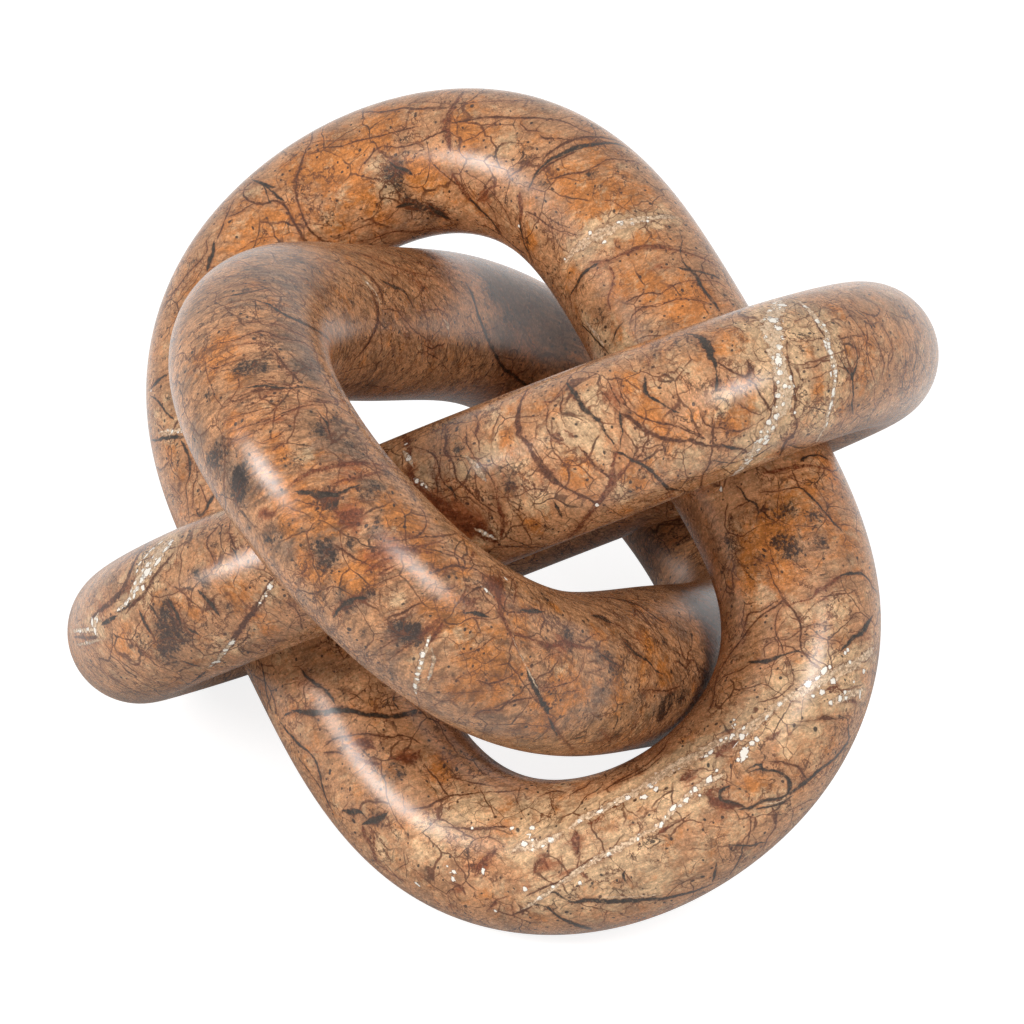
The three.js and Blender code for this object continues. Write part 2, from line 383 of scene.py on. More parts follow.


# Marks on the stone
#
# Chosen on the front of the sculpture as the photograph's camera sees it. x and y count
# its frame's pixels from the upper left corner, and the other lengths are pixels too. Each mark
# is laid on its link by rays from the camera. Commas part the picks.

# x, y and the vein's width from there on, which stays if it isn't given. Semicolons part the
# veins, each of which starts on a new line.
VEINS = {
    "upright_link": {
        "brown": """
312 133 2, 311 142, 306 150, 303 158 2.5, 300 167, 297 178, 296 188, 297 198, 300 208, 304 219, 309 229,
316 236, 324 241, 335 243 1;
253 181 2, 246 187, 243 194 2.5, 248 200, 255 203, 262 204 3, 275 201, 283 204, 289 212, 294 222, 300 232,
304 240, 312 245 4;
230 216 1.5, 240 212 2.5, 247 207 2, 256 203, 262 203;
234 200 1.5, 229 210 2, 225 220, 221 230 2.5, 218 237;
312 143 1.5, 322 141, 334 141, 345 139;
310 154 1.5, 322 148, 335 147 2, 345 145, 357 141, 370 138, 383 135, 395 132, 407 129, 415 127;
359 172 1.2, 362 165, 368 159 2, 376 150, 383 146, 392 147, 402 147, 412 145, 421 142, 428 138 2.5, 436 134,
444 131;
426 141 1.2, 428 150, 431 160, 436 167 2, 444 174, 451 180, 457 185;
360 112 2, 370 112, 382 112 3, 394 110, 405 108, 418 109, 430 108, 445 108;
410 103 1, 425 102 1.5, 440 103, 455 104, 480 102, 500 101, 515 101, 530 100;
409 112 1.5, 407 121, 405 128, 398 132;
419 110 1, 421 119, 427 126, 432 133;
448 131 1.5, 455 136, 462 140;
460 142 1.5, 470 139, 480 133, 490 126, 500 120, 508 118;
452 123 2, 460 122 2.5, 470 120, 480 118, 492 117 3.5, 505 117, 520 118, 535 118 3, 550 119, 562 121,
572 125 2, 582 130, 592 133;
300 200 1, 312 198, 322 193, 330 187, 338 180;
335 239 1.2, 345 235 1.5, 355 230, 365 226, 378 222, 388 219, 394 213, 399 208;
360 241 1.5, 372 239, 383 235 2, 392 232, 402 231, 415 232, 430 229, 450 230, 470 233;
521 124 1.5, 526 129 2, 531 131, 537 131;
541 136 2, 545 139 3, 555 138 2, 565 139, 572 140;
543 161 2, 547 155 2.5, 552 151, 560 146 3, 568 142 4, 576 139 3, 586 137, 596 137, 606 138, 615 140,
622 143;
538 175 2, 545 168 2.5, 555 161, 566 156, 575 152;
552 179 2, 565 175 2.5, 575 173, 583 172, 590 169 2, 598 165, 604 161, 612 159, 622 160, 632 161, 640 164;
506 180 1.2, 512 175 2, 520 169, 528 163, 534 159, 540 157;
526 212 1.5, 533 214 2, 540 219, 546 224, 553 228, 560 231 1.5, 568 232, 575 235, 583 234;
603 200 1, 612 201 1.5, 620 206, 628 211, 636 216;
616 240 1.5, 616 246, 620 249;
632 232 1.5, 634 240, 633 245;
656 230 1.2, 660 238, 665 243, 672 247;
625 302 1.5, 632 299 2, 640 295, 650 293, 660 294, 668 289, 677 284, 688 281, 700 280, 715 281, 724 286;
630 322 1.5, 633 315 2, 640 309, 648 306, 658 306 1.5, 668 302, 680 299, 695 300, 708 303;
465 172 1.5, 480 181, 490 190, 498 200, 505 210, 512 225;
488 203 1.5, 494 212, 497 222, 503 232;
459 170 1.5, 463 180, 468 190, 474 198;
206 240 1.5, 207 250 2, 203 257, 198 263 2.5, 192 269, 186 276, 180 284, 174 292, 169 300, 164 307;
200 268 1.2, 193 277, 185 287, 179 297;
146 411 1, 152 415, 157 421, 160 427;
168 480 1, 173 488 1.5, 179 495;
196 466 1.5, 197 476 2, 194 484, 193 492, 193 500, 192 508;
199 484 1.5, 203 492 2, 206 500, 208 504;
792 470 2, 795 478 3, 799 486;
735 508 1.5, 743 504 2, 750 501;
766 500 1.2, 765 515, 766 530, 765 540, 770 550 1.5, 773 560, 778 570, 779 578;
755 557 1.2, 762 561, 773 564;
768 565 1.5, 771 575 2, 774 583, 779 591 2.5, 784 600 3.5, 790 606 3, 795 613 2.5, 799 621, 801 630 3,
800 640 2.5, 801 648, 806 655, 812 662, 818 666 2;
784 600 3, 776 606, 768 611 2.5, 760 617, 752 625, 747 632, 741 640 3, 735 648 2.5, 729 656, 723 665,
718 675, 715 685, 713 700, 710 708;
780 599 1.5, 772 604 2, 760 611, 750 613, 747 618 2.5, 745 626 2, 741 636;
820 597 1.5, 830 596 2, 838 594 3, 848 593 1.5, 855 590;
783 604 1.5, 778 613 2, 775 623, 776 633, 780 643, 784 652;
798 632 2, 790 638, 780 640 1.5, 770 643, 763 648;
799 628 1.5, 808 626 2, 817 624, 825 626 2.5, 832 625 1.5;
785 655 1.5, 790 663, 792 672, 794 682 2, 790 687, 785 692, 778 697, 768 700, 760 702;
752 663 1.5, 744 668 2, 735 672, 725 676, 718 682;
760 672 1.2, 768 667, 776 663, 784 656;
808 635 1, 820 638 1.5, 832 640, 842 642;
758 492 1.2, 768 492 2, 778 491, 788 489, 797 487;
770 762 1.5, 780 762 2, 788 764 3, 796 766, 800 768, 803 774, 806 778 2;
772 807 2, 775 815 4, 776 824, 774 830 3, 768 837 2.5, 766 843, 762 850 1.5;
745 812 1.5, 750 818 2, 751 826, 749 835, 747 844;
795 722 1, 805 721 1.5, 815 720, 822 718 4, 828 718, 834 719 2, 842 719 1.5;
350 700 1.5, 358 695, 366 688;
345 690 1.2, 355 695 2, 362 700;
325 746 2, 332 740 2.5, 342 737, 352 735, 362 734, 372 734, 382 736, 392 737, 402 735, 412 738, 418 742 2;
325 752 2, 335 752 3, 343 754 1.5;
425 765 1.5, 431 773 2.5, 437 779, 441 786, 446 793;
410 809 1.2, 420 808 2, 430 806 4, 436 801 3, 445 799 4, 452 795 3, 460 795 2.5, 470 794 2, 485 792,
500 792 2.5, 512 791, 522 790 1;
450 778 1.2, 458 778 2, 465 781, 475 783 2.5, 482 784 3, 492 786 1.5, 505 786;
395 871 1, 403 866 1.5, 408 862, 407 855;
410 867 1, 417 872 1.5, 422 877;
440 826 1.5, 450 827 2, 460 828, 472 829 3.5, 480 828 4, 487 829, 495 827 2.5, 505 827;
439 805 1, 438 815, 440 822;
540 796 1.5, 548 793 2, 555 791 3, 565 792 1.5;
572 794 1.5, 578 790 4, 585 787 2.5, 590 782;
605 790 1.5, 620 780 3, 635 772, 650 762, 662 750, 668 740 2;
600 792 1.2, 615 784 2, 630 778, 645 770, 660 758;
690 814 1.5, 678 822 2, 668 828 2.5, 660 833 1.5;
590 860 1.5, 578 868 2, 567 876 2.5, 558 882, 548 886, 538 890 2, 528 895;
512 915 1.5, 520 912 3, 528 908, 535 903 2;
510 919 1, 520 923 1.5, 530 930, 537 933;
600 905 1, 603 915, 605 925;
505 880 1, 512 880 1.5, 522 877;
561 855 1, 562 865 1.5, 560 875;
240 250 1, 250 243 1.2, 262 238, 275 236;
282 190 1, 276 178, 283 168, 292 160;
640 215 1, 650 212 1.2, 662 214, 672 218;
560 195 1, 572 190, 580 193
""",
        "rust": """
463 92 3, 458 99 4, 453 107 5, 449 115 7, 447 122 10, 447 130 7, 448 138 6, 450 148 4;
452 172 3, 455 178, 459 184 5, 463 190, 467 196, 472 201 4;
478 200 2, 484 196 3.5, 490 188 3, 500 186 1.5;
520 195 3, 521 203 6, 521 212 5, 520 222 3.5;
590 262 1.5, 600 261 2, 610 260, 620 255 3, 630 251 4, 640 247 5.5, 650 247, 660 247 5, 672 249 3.5,
685 252 3, 697 256, 707 260, 716 266 2;
610 268 2.5, 614 276, 612 285 3, 610 293 2.5, 608 300, 610 308;
765 472 3.5, 775 471 4, 785 469, 795 467 5, 803 466 4, 812 466 3, 822 468, 832 471 2;
788 605 2, 800 601 2.5, 812 598, 818 590 4, 825 587 5, 833 582 4, 838 578;
740 734 3, 734 740 8, 726 747, 718 755 5;
702 768 2, 690 774 7, 682 779 5;
363 828 4, 365 836 6, 370 843 6, 373 850 5, 375 858 4, 378 864 3, 385 869 2, 392 874, 404 881;
372 830 3, 374 838, 374 845;
495 851 3, 487 858 6, 480 866 7, 476 874 3;
575 832 4, 576 840 9, 577 850 6, 579 858 3, 577 866 2, 582 874 4, 587 879 2;
534 871 2, 537 864 5, 543 860 4, 548 868 2;
488 910 2, 495 903 3.5, 498 899 3, 506 897 2;
452 882 2, 460 886 4, 464 892 3;
352 744 3, 362 742 7, 370 745 8, 374 748 3;
392 757 3, 402 758 7, 412 759 7, 418 752 4;
355 757 2, 366 762 4, 378 764 3;
780 731 2, 774 737 6, 766 739 3;
714 788 3, 708 794 5, 716 802 7, 728 806 6, 740 806 3;
668 826 2, 664 830 5, 658 834 3;
590 823 3, 596 821 5, 600 816 2;
612 807 2, 618 805 4, 624 799 3;
842 702 3, 852 700 4, 858 704 2;
826 690 2, 832 688 4, 838 686 2
""",
        "dark": """
253 180 2, 263 184 4, 273 187 3;
263 184 1.5, 266 192 2, 270 202 1.5;
263 185 1.5, 272 191 2.5, 279 198 3.5, 284 201 1.5;
472 201 4, 478 207, 485 214 3, 492 221, 498 230 2.5, 505 238, 515 247, 525 254 2;
520 222 3, 521 230, 523 238, 525 246, 529 253, 533 262 2;
530 186 2.5, 534 178 3, 539 170 3.5, 545 164, 553 158, 562 154 5, 570 150 7, 578 147 7.5, 588 145 6,
598 144 4.5, 608 143 4, 618 144 3.5, 628 148 3, 635 152 2;
595 265 3, 587 270 3.5, 581 277 4, 577 284, 573 290 2.5, 570 297 2, 571 303 1.5;
683 262 2, 688 268 4, 694 273 4.5, 698 280 4, 702 287, 707 294 4.5, 712 300 4, 718 308 3;
680 268 2.5, 690 270 4, 700 272 3, 712 275, 720 279 2.5;
680 230 1, 682 242 1.5, 680 252, 683 260;
583 326 2.5, 590 333, 597 341 3, 603 347 2.5, 608 353;
613 341 1.5, 616 331 2.5, 622 323;
398 207 2.5, 405 205 5, 412 204 3;
430 206 3, 436 211 6, 444 216, 449 219 3;
391 163 2.5, 397 167 4, 405 170, 410 173 4;
214 243 2.5, 213 252 4, 210 260 4.5, 208 268 4;
166 375 3, 160 379 4, 155 384, 151 389 2;
151 396 1.5, 156 399 2.5, 161 405, 166 412, 172 418 3;
150 440 2, 158 440 3.5, 165 438 4, 173 437 4.5, 181 437 4;
182 442 2.5, 187 452 4, 190 462, 190 472 3, 188 480 2, 186 488, 187 498, 188 508, 189 516 1.5;
213 496 4, 208 505 4.5, 204 512 3, 199 516 2.5, 196 508 1.5;
738 487 2, 744 494 2.5, 747 500, 755 503 3, 758 510 2.5, 757 520 1.5;
763 512 2.5, 770 518 2, 778 524 1.2;
797 487 2.5, 803 489, 810 496 3, 817 503 2.5, 825 512, 833 522 3, 840 529 3.5;
802 460 4, 808 456 3, 818 455 2.5, 826 458;
838 578 3, 843 575, 852 573 3.5, 862 574 3, 868 579, 872 586 2.5, 876 591;
750 662 3.5, 758 662, 767 661 4.5, 775 658 4, 783 655 2.5, 792 652, 800 651 2;
842 650 2.5, 848 643 4, 855 637 5, 862 632 6, 867 625 5, 872 617 3;
838 716 1.5, 847 719 2, 848 728 2.5, 849 737 3, 847 743 3.5, 843 749 4, 838 755, 833 760, 825 766,
818 771 5, 812 777, 805 782 6, 798 788 5, 790 793 4;
752 771 2.5, 758 769 3, 766 770, 774 771, 781 773 3.5, 786 777, 789 782 4, 790 788 5, 788 793 4;
788 793 3, 783 797 3.5, 776 799, 770 800 4, 762 801 4.5, 757 804 5, 750 808 4, 742 809 3;
791 797 2, 785 801 3, 777 805, 768 807, 758 809 2.5;
727 787 3, 722 790 4, 720 797 4.5, 726 802, 735 804 5, 742 806 4;
750 768 2, 755 765 2.5, 761 765 3, 762 769 2;
729 845 1.5, 740 845 2.5, 750 846, 760 843, 768 842 1.5;
743 846 2, 742 853 2.5, 739 860, 735 867, 731 873;
716 864 2, 715 872 3.5, 713 880;
282 718 1.5, 287 714 2, 295 711 3, 303 712 5, 312 713 7, 322 713 6, 330 711 5.5, 340 710 6.5, 350 711 5.5,
360 713 5, 370 715 5.5, 382 716, 395 716 6, 405 715, 415 711 5;
303 672 3, 310 680 4, 317 685, 324 689 3.5, 330 695, 334 702 2;
262 665 2.5, 264 675 3, 266 690, 269 702, 272 712;
280 722 2, 287 731 3.5, 295 740 4, 303 748 3, 310 753 2.5, 316 762 3.5, 320 774, 322 785, 325 795 3,
328 803, 332 810 2;
300 760 1.5, 308 770 2, 315 780, 322 790;
270 690 1.5, 274 700 2, 277 712;
395 693 1.5, 394 702 2, 398 708;
344 811 3, 352 812 7, 360 811 4, 366 818 2;
364 824 3, 372 821 7, 381 818 7, 386 814 3;
545 893 2, 555 892 3, 562 897, 570 901, 578 902 3.5, 588 900 6, 600 901 7, 612 902, 625 901 6.5,
640 900 5.5, 655 899 5, 668 898, 680 895 4.5, 692 892, 700 889 4, 712 884 2.5;
530 903 2.5, 538 905 3, 547 907, 553 912, 558 916 3.5, 565 920 4, 572 923 6, 580 926 7, 590 929 5;
625 870 1.5, 623 876 2.5, 626 882 1.5;
240 655 1.5, 250 672 2, 258 690, 266 706 1.5
""",
        "pale": """
566 261 3, 572 253 5, 580 246 8, 590 240 10, 600 234 12, 610 229 11, 620 225 9, 632 221 8, 645 219 7,
660 217 6, 675 217 4;
586 322 3, 591 329 5, 597 336, 602 343 4;
160 433 4, 168 432 6, 176 431 6, 181 431 5;
872 650 8, 858 662 10, 840 671 12, 822 680, 805 689 9, 788 699, 770 711 8, 757 722 9, 748 729 10, 735 736 8,
722 741, 708 748 9, 695 756 10, 680 764 11, 665 772 12, 652 781 10, 640 789 9, 628 797, 612 804 8, 600 811,
585 817 7, 572 826;
862 690 6, 845 697 9, 830 703 5;
720 776 4, 708 781 7, 695 789 6, 684 801 7, 672 810, 660 825 6, 645 833 5, 630 842 6, 615 850 7, 600 857 6,
588 865 5, 575 873, 565 880, 555 887, 545 895, 535 902 4, 525 908 3;
560 834 5, 548 842 8, 535 845 12, 523 846 9, 514 850 4;
604 897 1.5, 620 897 2, 640 896, 658 895 1.5;
784 800 1.5, 775 803 2, 766 804 1.5
""",
    },
    "slanted_link": {
        "brown": """
527 390 2.5, 521 402 3, 518 412 5, 518 425 6, 520 435 5, 527 443 4, 532 452 5, 537 460 5.5, 542 468 6.5,
549 475 7, 556 482 5, 566 488 3.5, 578 494, 590 500, 598 504;
525 440 2, 532 445, 538 455 2.5, 545 465, 552 473 3;
580 447 2, 588 457 3, 594 465 3.5, 603 472, 608 477 3;
605 449 1.2, 613 452 1.5, 622 455;
620 413 2, 630 418 4, 640 427 5, 650 433, 660 437 4.5, 672 440 4, 684 441, 690 440 4.5, 697 443,
708 446 3.5, 720 446 4, 732 448, 742 449 3, 748 453;
625 405 1.5, 640 416 2.5, 655 422, 670 425, 682 428, 692 433, 703 438;
608 380 1.5, 613 392 2, 620 405;
600 390 1.2, 606 397 1.5, 611 404, 617 410;
618 380 1.2, 625 395 1.5, 632 405;
614 372 1.2, 618 384 2, 622 396, 626 405;
653 438 1.2, 645 444 2, 642 452, 636 460;
560 385 1.2, 563 395 2, 561 405 2.5, 561 415 1.5, 565 425;
545 400 1.2, 548 412 2, 546 425, 552 436 2.5, 560 440;
540 448 1, 548 456 1.5, 558 460, 570 460, 577 465;
445 425 1.5, 446 440 3, 445 450 3.5, 452 460 3, 455 470 2.5, 458 480, 468 490 3, 478 500 2, 488 508, 495 512;
467 425 1.2, 466 440 2, 470 450, 477 460, 485 470, 492 480, 495 490;
472 430 1.2, 478 440 2, 480 452 1.5;
505 500 1, 515 508 1.5, 525 515, 535 520, 545 528 1.2;
600 502 1, 612 510 1.5, 622 516, 632 514;
590 520 1, 600 522 1.5, 612 522;
640 500 1, 650 493 1.5, 665 490;
712 418 1.5, 713 430 3, 713 440 3.5, 711 455 2.5, 709 465, 703 475, 701 485, 700 492 1.5;
700 413 1.5, 705 423 2, 712 427 2.5, 722 428 2, 732 431, 742 431 3, 750 427 1.5, 757 423, 764 418;
716 362 1.5, 725 367 2.5, 735 373 3, 745 377 3.5, 751 371 5, 748 362 3;
745 378 1.5, 755 385 2.5, 760 395, 765 402 3, 770 410 2.5;
738 403 1.2, 745 408 2.5, 752 412 1.5, 760 415;
680 424 1.2, 690 430 2, 700 435;
797 372 1, 806 368 1.5, 816 366 2, 824 360, 829 357 1.5;
800 380 1, 815 378 1.5, 822 375, 830 371;
785 320 1.2, 795 321 1.5, 803 318, 812 315;
790 342 1.2, 800 341, 812 340 1.5, 822 338;
833 340 1.2, 845 338 2, 853 336, 862 336 1.5;
862 330 1.2, 866 340 2, 867 352, 869 362, 872 373, 875 385 1.5, 874 400, 876 408;
840 300 1.2, 850 315 2, 858 325, 864 335;
860 297 1.2, 868 300 1.5, 874 303, 879 308 2, 878 314, 872 316 2.5, 862 312 2, 856 308 1.2;
880 320 1.2, 885 330 2, 890 340, 893 352, 890 362;
870 330 1.2, 876 340 2, 881 352, 884 365, 882 377;
896 395 1.2, 900 385 1.5, 903 372, 906 362;
886 385 1, 890 397 1.5, 887 408, 880 418;
848 400 1, 850 408 1.5, 845 418, 840 428;
862 415 1.2, 858 424, 850 432, 842 438;
787 340 1.5, 788 360 2, 791 372 3, 793 385 3.5, 796 400 3, 794 412 2.5, 797 422, 794 434 3, 787 440 4,
783 448 5, 780 456 3;
773 380 1.5, 775 390 3, 775 400, 772 412 2.5, 768 420;
814 318 2, 820 330 3, 825 337 2;
757 338 1, 753 348, 757 358 1.5, 762 362, 770 361;
172 555 2, 162 567 4, 152 580 4.5, 147 590 4, 140 598, 132 605, 127 612 2.5;
150 541 3, 140 553 4, 133 565 5, 128 578 7, 122 590 8, 113 600 7, 105 607 6, 95 615 4, 90 622 3;
75 637 3, 90 638 4, 98 636 2.5;
272 580 3, 267 588 5, 262 600 6, 256 608 6.5, 247 620, 238 632 5.5, 230 645 5, 222 655 4.5, 214 665 3.5;
222 522 1.2, 215 530 2, 208 537 2.5, 207 545, 210 552, 214 560, 215 565 1.5;
231 518 1.2, 229 530 2.5, 232 540, 236 550 2;
180 545 1, 177 555 1.5, 176 565;
160 575 1, 170 585 1.5, 180 590, 190 600, 200 608;
100 637 1.2, 108 648 1.5, 115 655, 122 662 2, 130 668 2.5, 140 675 1.5, 150 680, 165 686, 180 690;
90 650 1.2, 97 662, 105 672 2, 115 680 3, 125 686 2, 138 692, 150 696;
120 625 1.2, 130 640 1.5, 142 650, 152 657;
108 640 1, 118 652, 130 660 1.2, 142 667, 152 672;
84 660 1, 92 672 1.5, 102 684, 114 693;
200 648 1, 212 652, 224 655 1.2;
245 640 1, 258 645 1.5, 270 644, 285 640;
230 655 1, 245 660, 258 658 1.2;
283 600 1, 292 606 1.5, 300 616 2, 302 628;
500 498 1.2, 508 497 1.5, 520 495, 527 491 2, 535 489, 545 489 1.5;
413 447 1.2, 425 450 2, 433 455 2.5, 438 463 3, 440 475 2, 446 485;
668 490 1.2, 672 500 1.5, 673 510;
640 350 1, 648 358 1.5, 655 368 1.2;
676 372 1.2, 684 380 1.5, 690 392;
724 328 1, 716 333, 712 340 1.5;
836 288 1, 848 296 1.2, 858 306;
468 410 1, 476 416 1.5, 480 425
""",
        "rust": """
497 497 2.5, 499 505 4, 501 515 5, 503 525, 502 533 4, 500 540 2.5;
617 452 3, 614 462 4, 613 472 6, 611 485 8, 606 493 6, 600 501 6, 592 511, 584 520, 577 530, 570 537 4;
635 459 3, 628 466 4, 620 475 4.5, 613 483 4;
478 422 2, 477 430 5, 475 436 2;
403 432 5, 408 445 6, 410 458 4, 410 472 6, 418 484, 430 495 7, 442 507 12, 456 517 16, 470 525 18,
484 534 14, 495 541 8;
560 395 2, 553 401 3, 545 402 2;
565 430 1.5, 570 433 3, 574 437 1.5
""",
        "dark": """
567 384 3, 573 391 4.5, 579 400 5.5, 583 408 5, 592 415 4, 600 422, 605 432 3, 611 440 2, 617 450 1.5;
617 452 2, 625 455 2.5, 632 460 3, 641 464 3.5, 650 470 4, 660 480, 668 488 4.5, 676 490 3, 688 492 2,
697 494 1.5;
645 378 3, 645 390 5, 650 397 3.5, 660 402 2.5, 672 410, 680 413 2;
620 413 2, 620 420 4, 622 432 2, 620 445;
555 503 2, 558 509 4, 561 516 3;
500 545 1.2, 520 547 2, 545 547, 558 543 1.2;
505 537 1.2, 518 542 2, 530 547;
507 560 1, 520 556 1.5, 532 552;
690 334 3, 697 336 5, 704 342 10, 709 350 9, 712 358 6, 716 367 3, 717 378 2.5, 716 390 3;
853 340 1.5, 857 355 2, 856 368 2.5, 852 375 5, 853 385 3, 853 395 2.5, 852 405 3, 853 413 2;
838 355 1.2, 843 364 2, 849 373 3;
848 305 1.5, 858 312 2, 866 318, 872 328 2.5;
900 302 1.5, 907 312 2.5, 914 325 2, 920 335;
915 340 2, 917 355 2.5, 914 370, 914 385 2, 912 398 1.5;
905 350 1.5, 906 365 2, 903 378, 902 390;
895 318 1, 903 332 1.5, 909 346;
786 444 1.5, 795 447 3, 803 448 3.5, 810 446 3, 818 441 2.5;
700 463 1, 712 461 1.5, 730 463 2, 742 460, 756 456 2.5, 770 447 2;
724 446 2.5, 732 448 4, 738 449 2;
200 592 3, 207 600 5, 213 607 5.5, 218 614 3;
168 598 2, 172 606 4.5, 177 614 5, 180 622 3;
140 612 2.5, 144 621 4.5, 149 631 3;
149 604 2, 153 610 4.5, 157 616 2;
103 624 4, 110 620 6, 116 616 3;
118 611 4, 125 607 5.5, 130 603 3;
189 629 2.5, 194 632 4, 199 635 2;
183 661 2, 190 664 4, 197 666 2.5;
205 672 2.5, 195 680 3, 185 686 2;
232 548 2, 236 554 3, 238 560 1.5;
446 485 2, 452 490 3, 456 498 1.5
""",
        "grey": """
468 458 4, 474 465 7, 480 473 7, 484 479 4;
100 640 2, 88 643 4, 78 645 3
""",
        "pale": """
779 301 12, 776 310 14, 772 320 19, 773 332 20, 775 345 18, 777 357 15, 780 370 15, 784 384 17, 785 396 18,
782 407 16, 776 417 13, 768 430 13, 761 441 12, 752 454 12, 744 465 10, 735 475 9, 725 484 6;
800 302 4, 808 309 6, 816 318 7, 824 328 8, 828 336 7, 828 345 8, 832 357 8, 835 369 7, 835 381 5,
834 392 6, 832 403 6, 828 413 5, 827 422 4, 822 432 4, 817 441 3;
170 541 12, 162 551 15, 153 561 17, 146 571 17, 139 581 14, 133 592 9, 127 602 5, 119 609 4;
97 617 6, 94 626 8, 97 634 5;
95 630 4, 85 630 5, 74 631 4;
271 584 3.5, 266 593 3, 260 603 2.5;
232 641 4, 226 649 5, 218 660 4.5, 210 667 3;
414 478 4, 421 483 6, 427 488 4;
478 530 4, 486 534 6, 493 538 4;
404 452 5, 409 459 6, 412 464 3
""",
    },
    "front_link": {
        "brown": """
215 343 1.2, 225 342 2, 235 340, 245 336 2.5, 255 332, 263 331 3, 272 334, 280 338, 292 340 2.5, 305 343,
315 352 2;
205 328 1, 222 328 1.2, 235 325 1.5, 245 323, 260 322 2, 275 324, 290 330 2.5, 305 337;
212 350 1, 225 347 1.2, 238 345, 252 343 2, 265 344 1.5;
208 367 1.2, 214 369 2.5, 222 366 2, 235 361 1.5, 248 357;
240 397 1.5, 250 392 3, 262 390, 275 389 2.5, 290 389;
242 408 1, 255 403 1.5, 268 397, 280 396;
218 410 1, 228 405 1.5, 238 400 2, 250 396;
273 350 2, 279 358 3, 285 366 3.5, 292 373, 298 380 2.5;
237 375 1.2, 239 385 2, 235 393, 230 400;
262 417 1, 270 413 2, 276 407, 279 401;
225 418 1, 240 415 1.5, 255 411 2, 268 408;
230 432 1.2, 245 427 2, 262 422 2.5, 275 417 2, 288 411, 300 407;
222 446 1, 238 440 1.5, 252 433, 262 428;
262 442 1.2, 275 437 2, 285 431 1.5;
272 452 1.2, 278 446 2.5, 286 441 1.5;
345 262 2, 352 265 3, 360 269 4, 368 275 5, 374 281, 379 288 5.5, 382 296 4.5, 383 303 3;
360 281 1.2, 367 285 2, 371 291 2.5, 374 298 4, 377 305 6, 378 313 6.5, 378 321 6, 375 330 5.5, 371 338 5,
366 346 4, 360 354 3, 354 360 2.5, 348 368 2, 343 377;
380 310 1.2, 390 309 2, 398 312, 405 320, 412 328, 420 335, 428 340 1.5;
418 312 1, 430 310 1.5, 440 310, 447 316 2, 449 325, 448 336;
424 345 1.5, 432 349 2.5, 437 346, 445 344 1.5;
425 352 1, 433 356 2, 440 360 1.5;
450 270 1.2, 449 279 2, 453 286 2.5, 458 291;
460 333 1, 470 334 1.5, 480 332, 490 330, 498 326;
358 345 1.2, 366 342, 375 341;
303 502 1.5, 315 505 2.5, 325 506 2;
335 545 1.5, 343 550 3, 350 555, 357 560, 365 563 2;
298 557 1.2, 308 554 1.5, 314 556;
311 560 1.2, 307 567 2, 303 573, 295 575 1.2;
385 542 1.2, 400 540 2, 410 538 2.5, 418 535 3, 424 530 2.5, 426 522 2, 424 513, 418 506 1.2;
412 539 1.2, 420 537 2, 430 537, 440 536, 450 535, 458 534, 465 538 1.5;
443 550 1.2, 452 552 2, 460 557, 470 560 1.5;
436 553 1, 434 562 1.5, 432 570;
430 573 1.2, 440 570 2.5, 450 566, 458 566, 466 568 2, 472 568, 480 572 2.5, 487 577, 493 580;
460 602 1.5, 466 596 2.5, 473 590, 480 587, 487 584 2;
442 588 1.2, 450 589 2, 458 585 1.5;
500 602 2, 505 611 2.5, 510 612 2, 518 612, 528 613 1.2;
385 620 1.2, 395 615 2.5, 405 612 3, 415 605, 420 603 1.5;
372 602 1, 384 606 1.2, 392 612;
378 650 1.2, 388 644 2, 395 640;
388 660 1.2, 402 650 2, 412 643 1.5;
375 640 1, 388 637 1.5, 398 636;
450 658 1, 460 655 1.5, 470 652, 478 650, 485 645, 490 640, 495 637 1.2;
432 677 1, 445 677 1.5, 455 680, 463 675, 472 672, 480 668 1.2;
440 693 1, 455 693 1.5, 470 692, 485 691, 500 690 1.2;
476 680 1.2, 483 682 2, 492 683 3, 505 679 2.5, 515 673, 520 668 1.5;
472 718 1.2, 480 712 2.5, 492 710, 500 710 3, 508 703, 518 700, 528 698 2.5, 537 697 2;
527 668 1.2, 540 662 1.5, 550 655, 560 652;
543 688 1.5, 555 687 2, 565 684, 575 680, 580 672 1.5, 583 662, 584 655;
585 673 1, 597 671 1.5, 605 668;
560 697 1, 568 692 1.5, 580 690;
640 690 1.2, 650 690 2, 660 691, 670 690 2.5, 680 686 1.5;
648 668 1, 650 678 1.5, 646 686;
612 623 1.5, 620 626 2.5, 627 632, 633 638 2, 640 640 1.2;
612 640 1, 628 645, 640 642 1.2;
575 640 1, 583 642 2, 590 637, 598 633 1.2;
563 605 1, 570 618 1.5, 566 627;
490 730 1, 505 732, 520 728 1.2;
428 710 1, 440 702 1.2, 452 700;
455 738 1, 470 735 1.5, 485 737, 500 742 1.2;
230 262 1, 245 264 1.5, 260 268, 275 273 1.2;
205 283 1, 220 278 2, 235 276, 250 275 1.5;
222 288 1, 238 285 1.5, 252 284, 266 288 2, 276 296 1.2;
300 290 1, 310 300 1.5, 318 312;
290 270 1.2, 302 278 2, 312 288, 320 300 1.5;
320 278 1, 328 290 1.5, 332 305;
330 245 1, 345 248 1.5, 360 253 2, 372 257;
497 602 1, 490 611 1.5, 482 617
""",
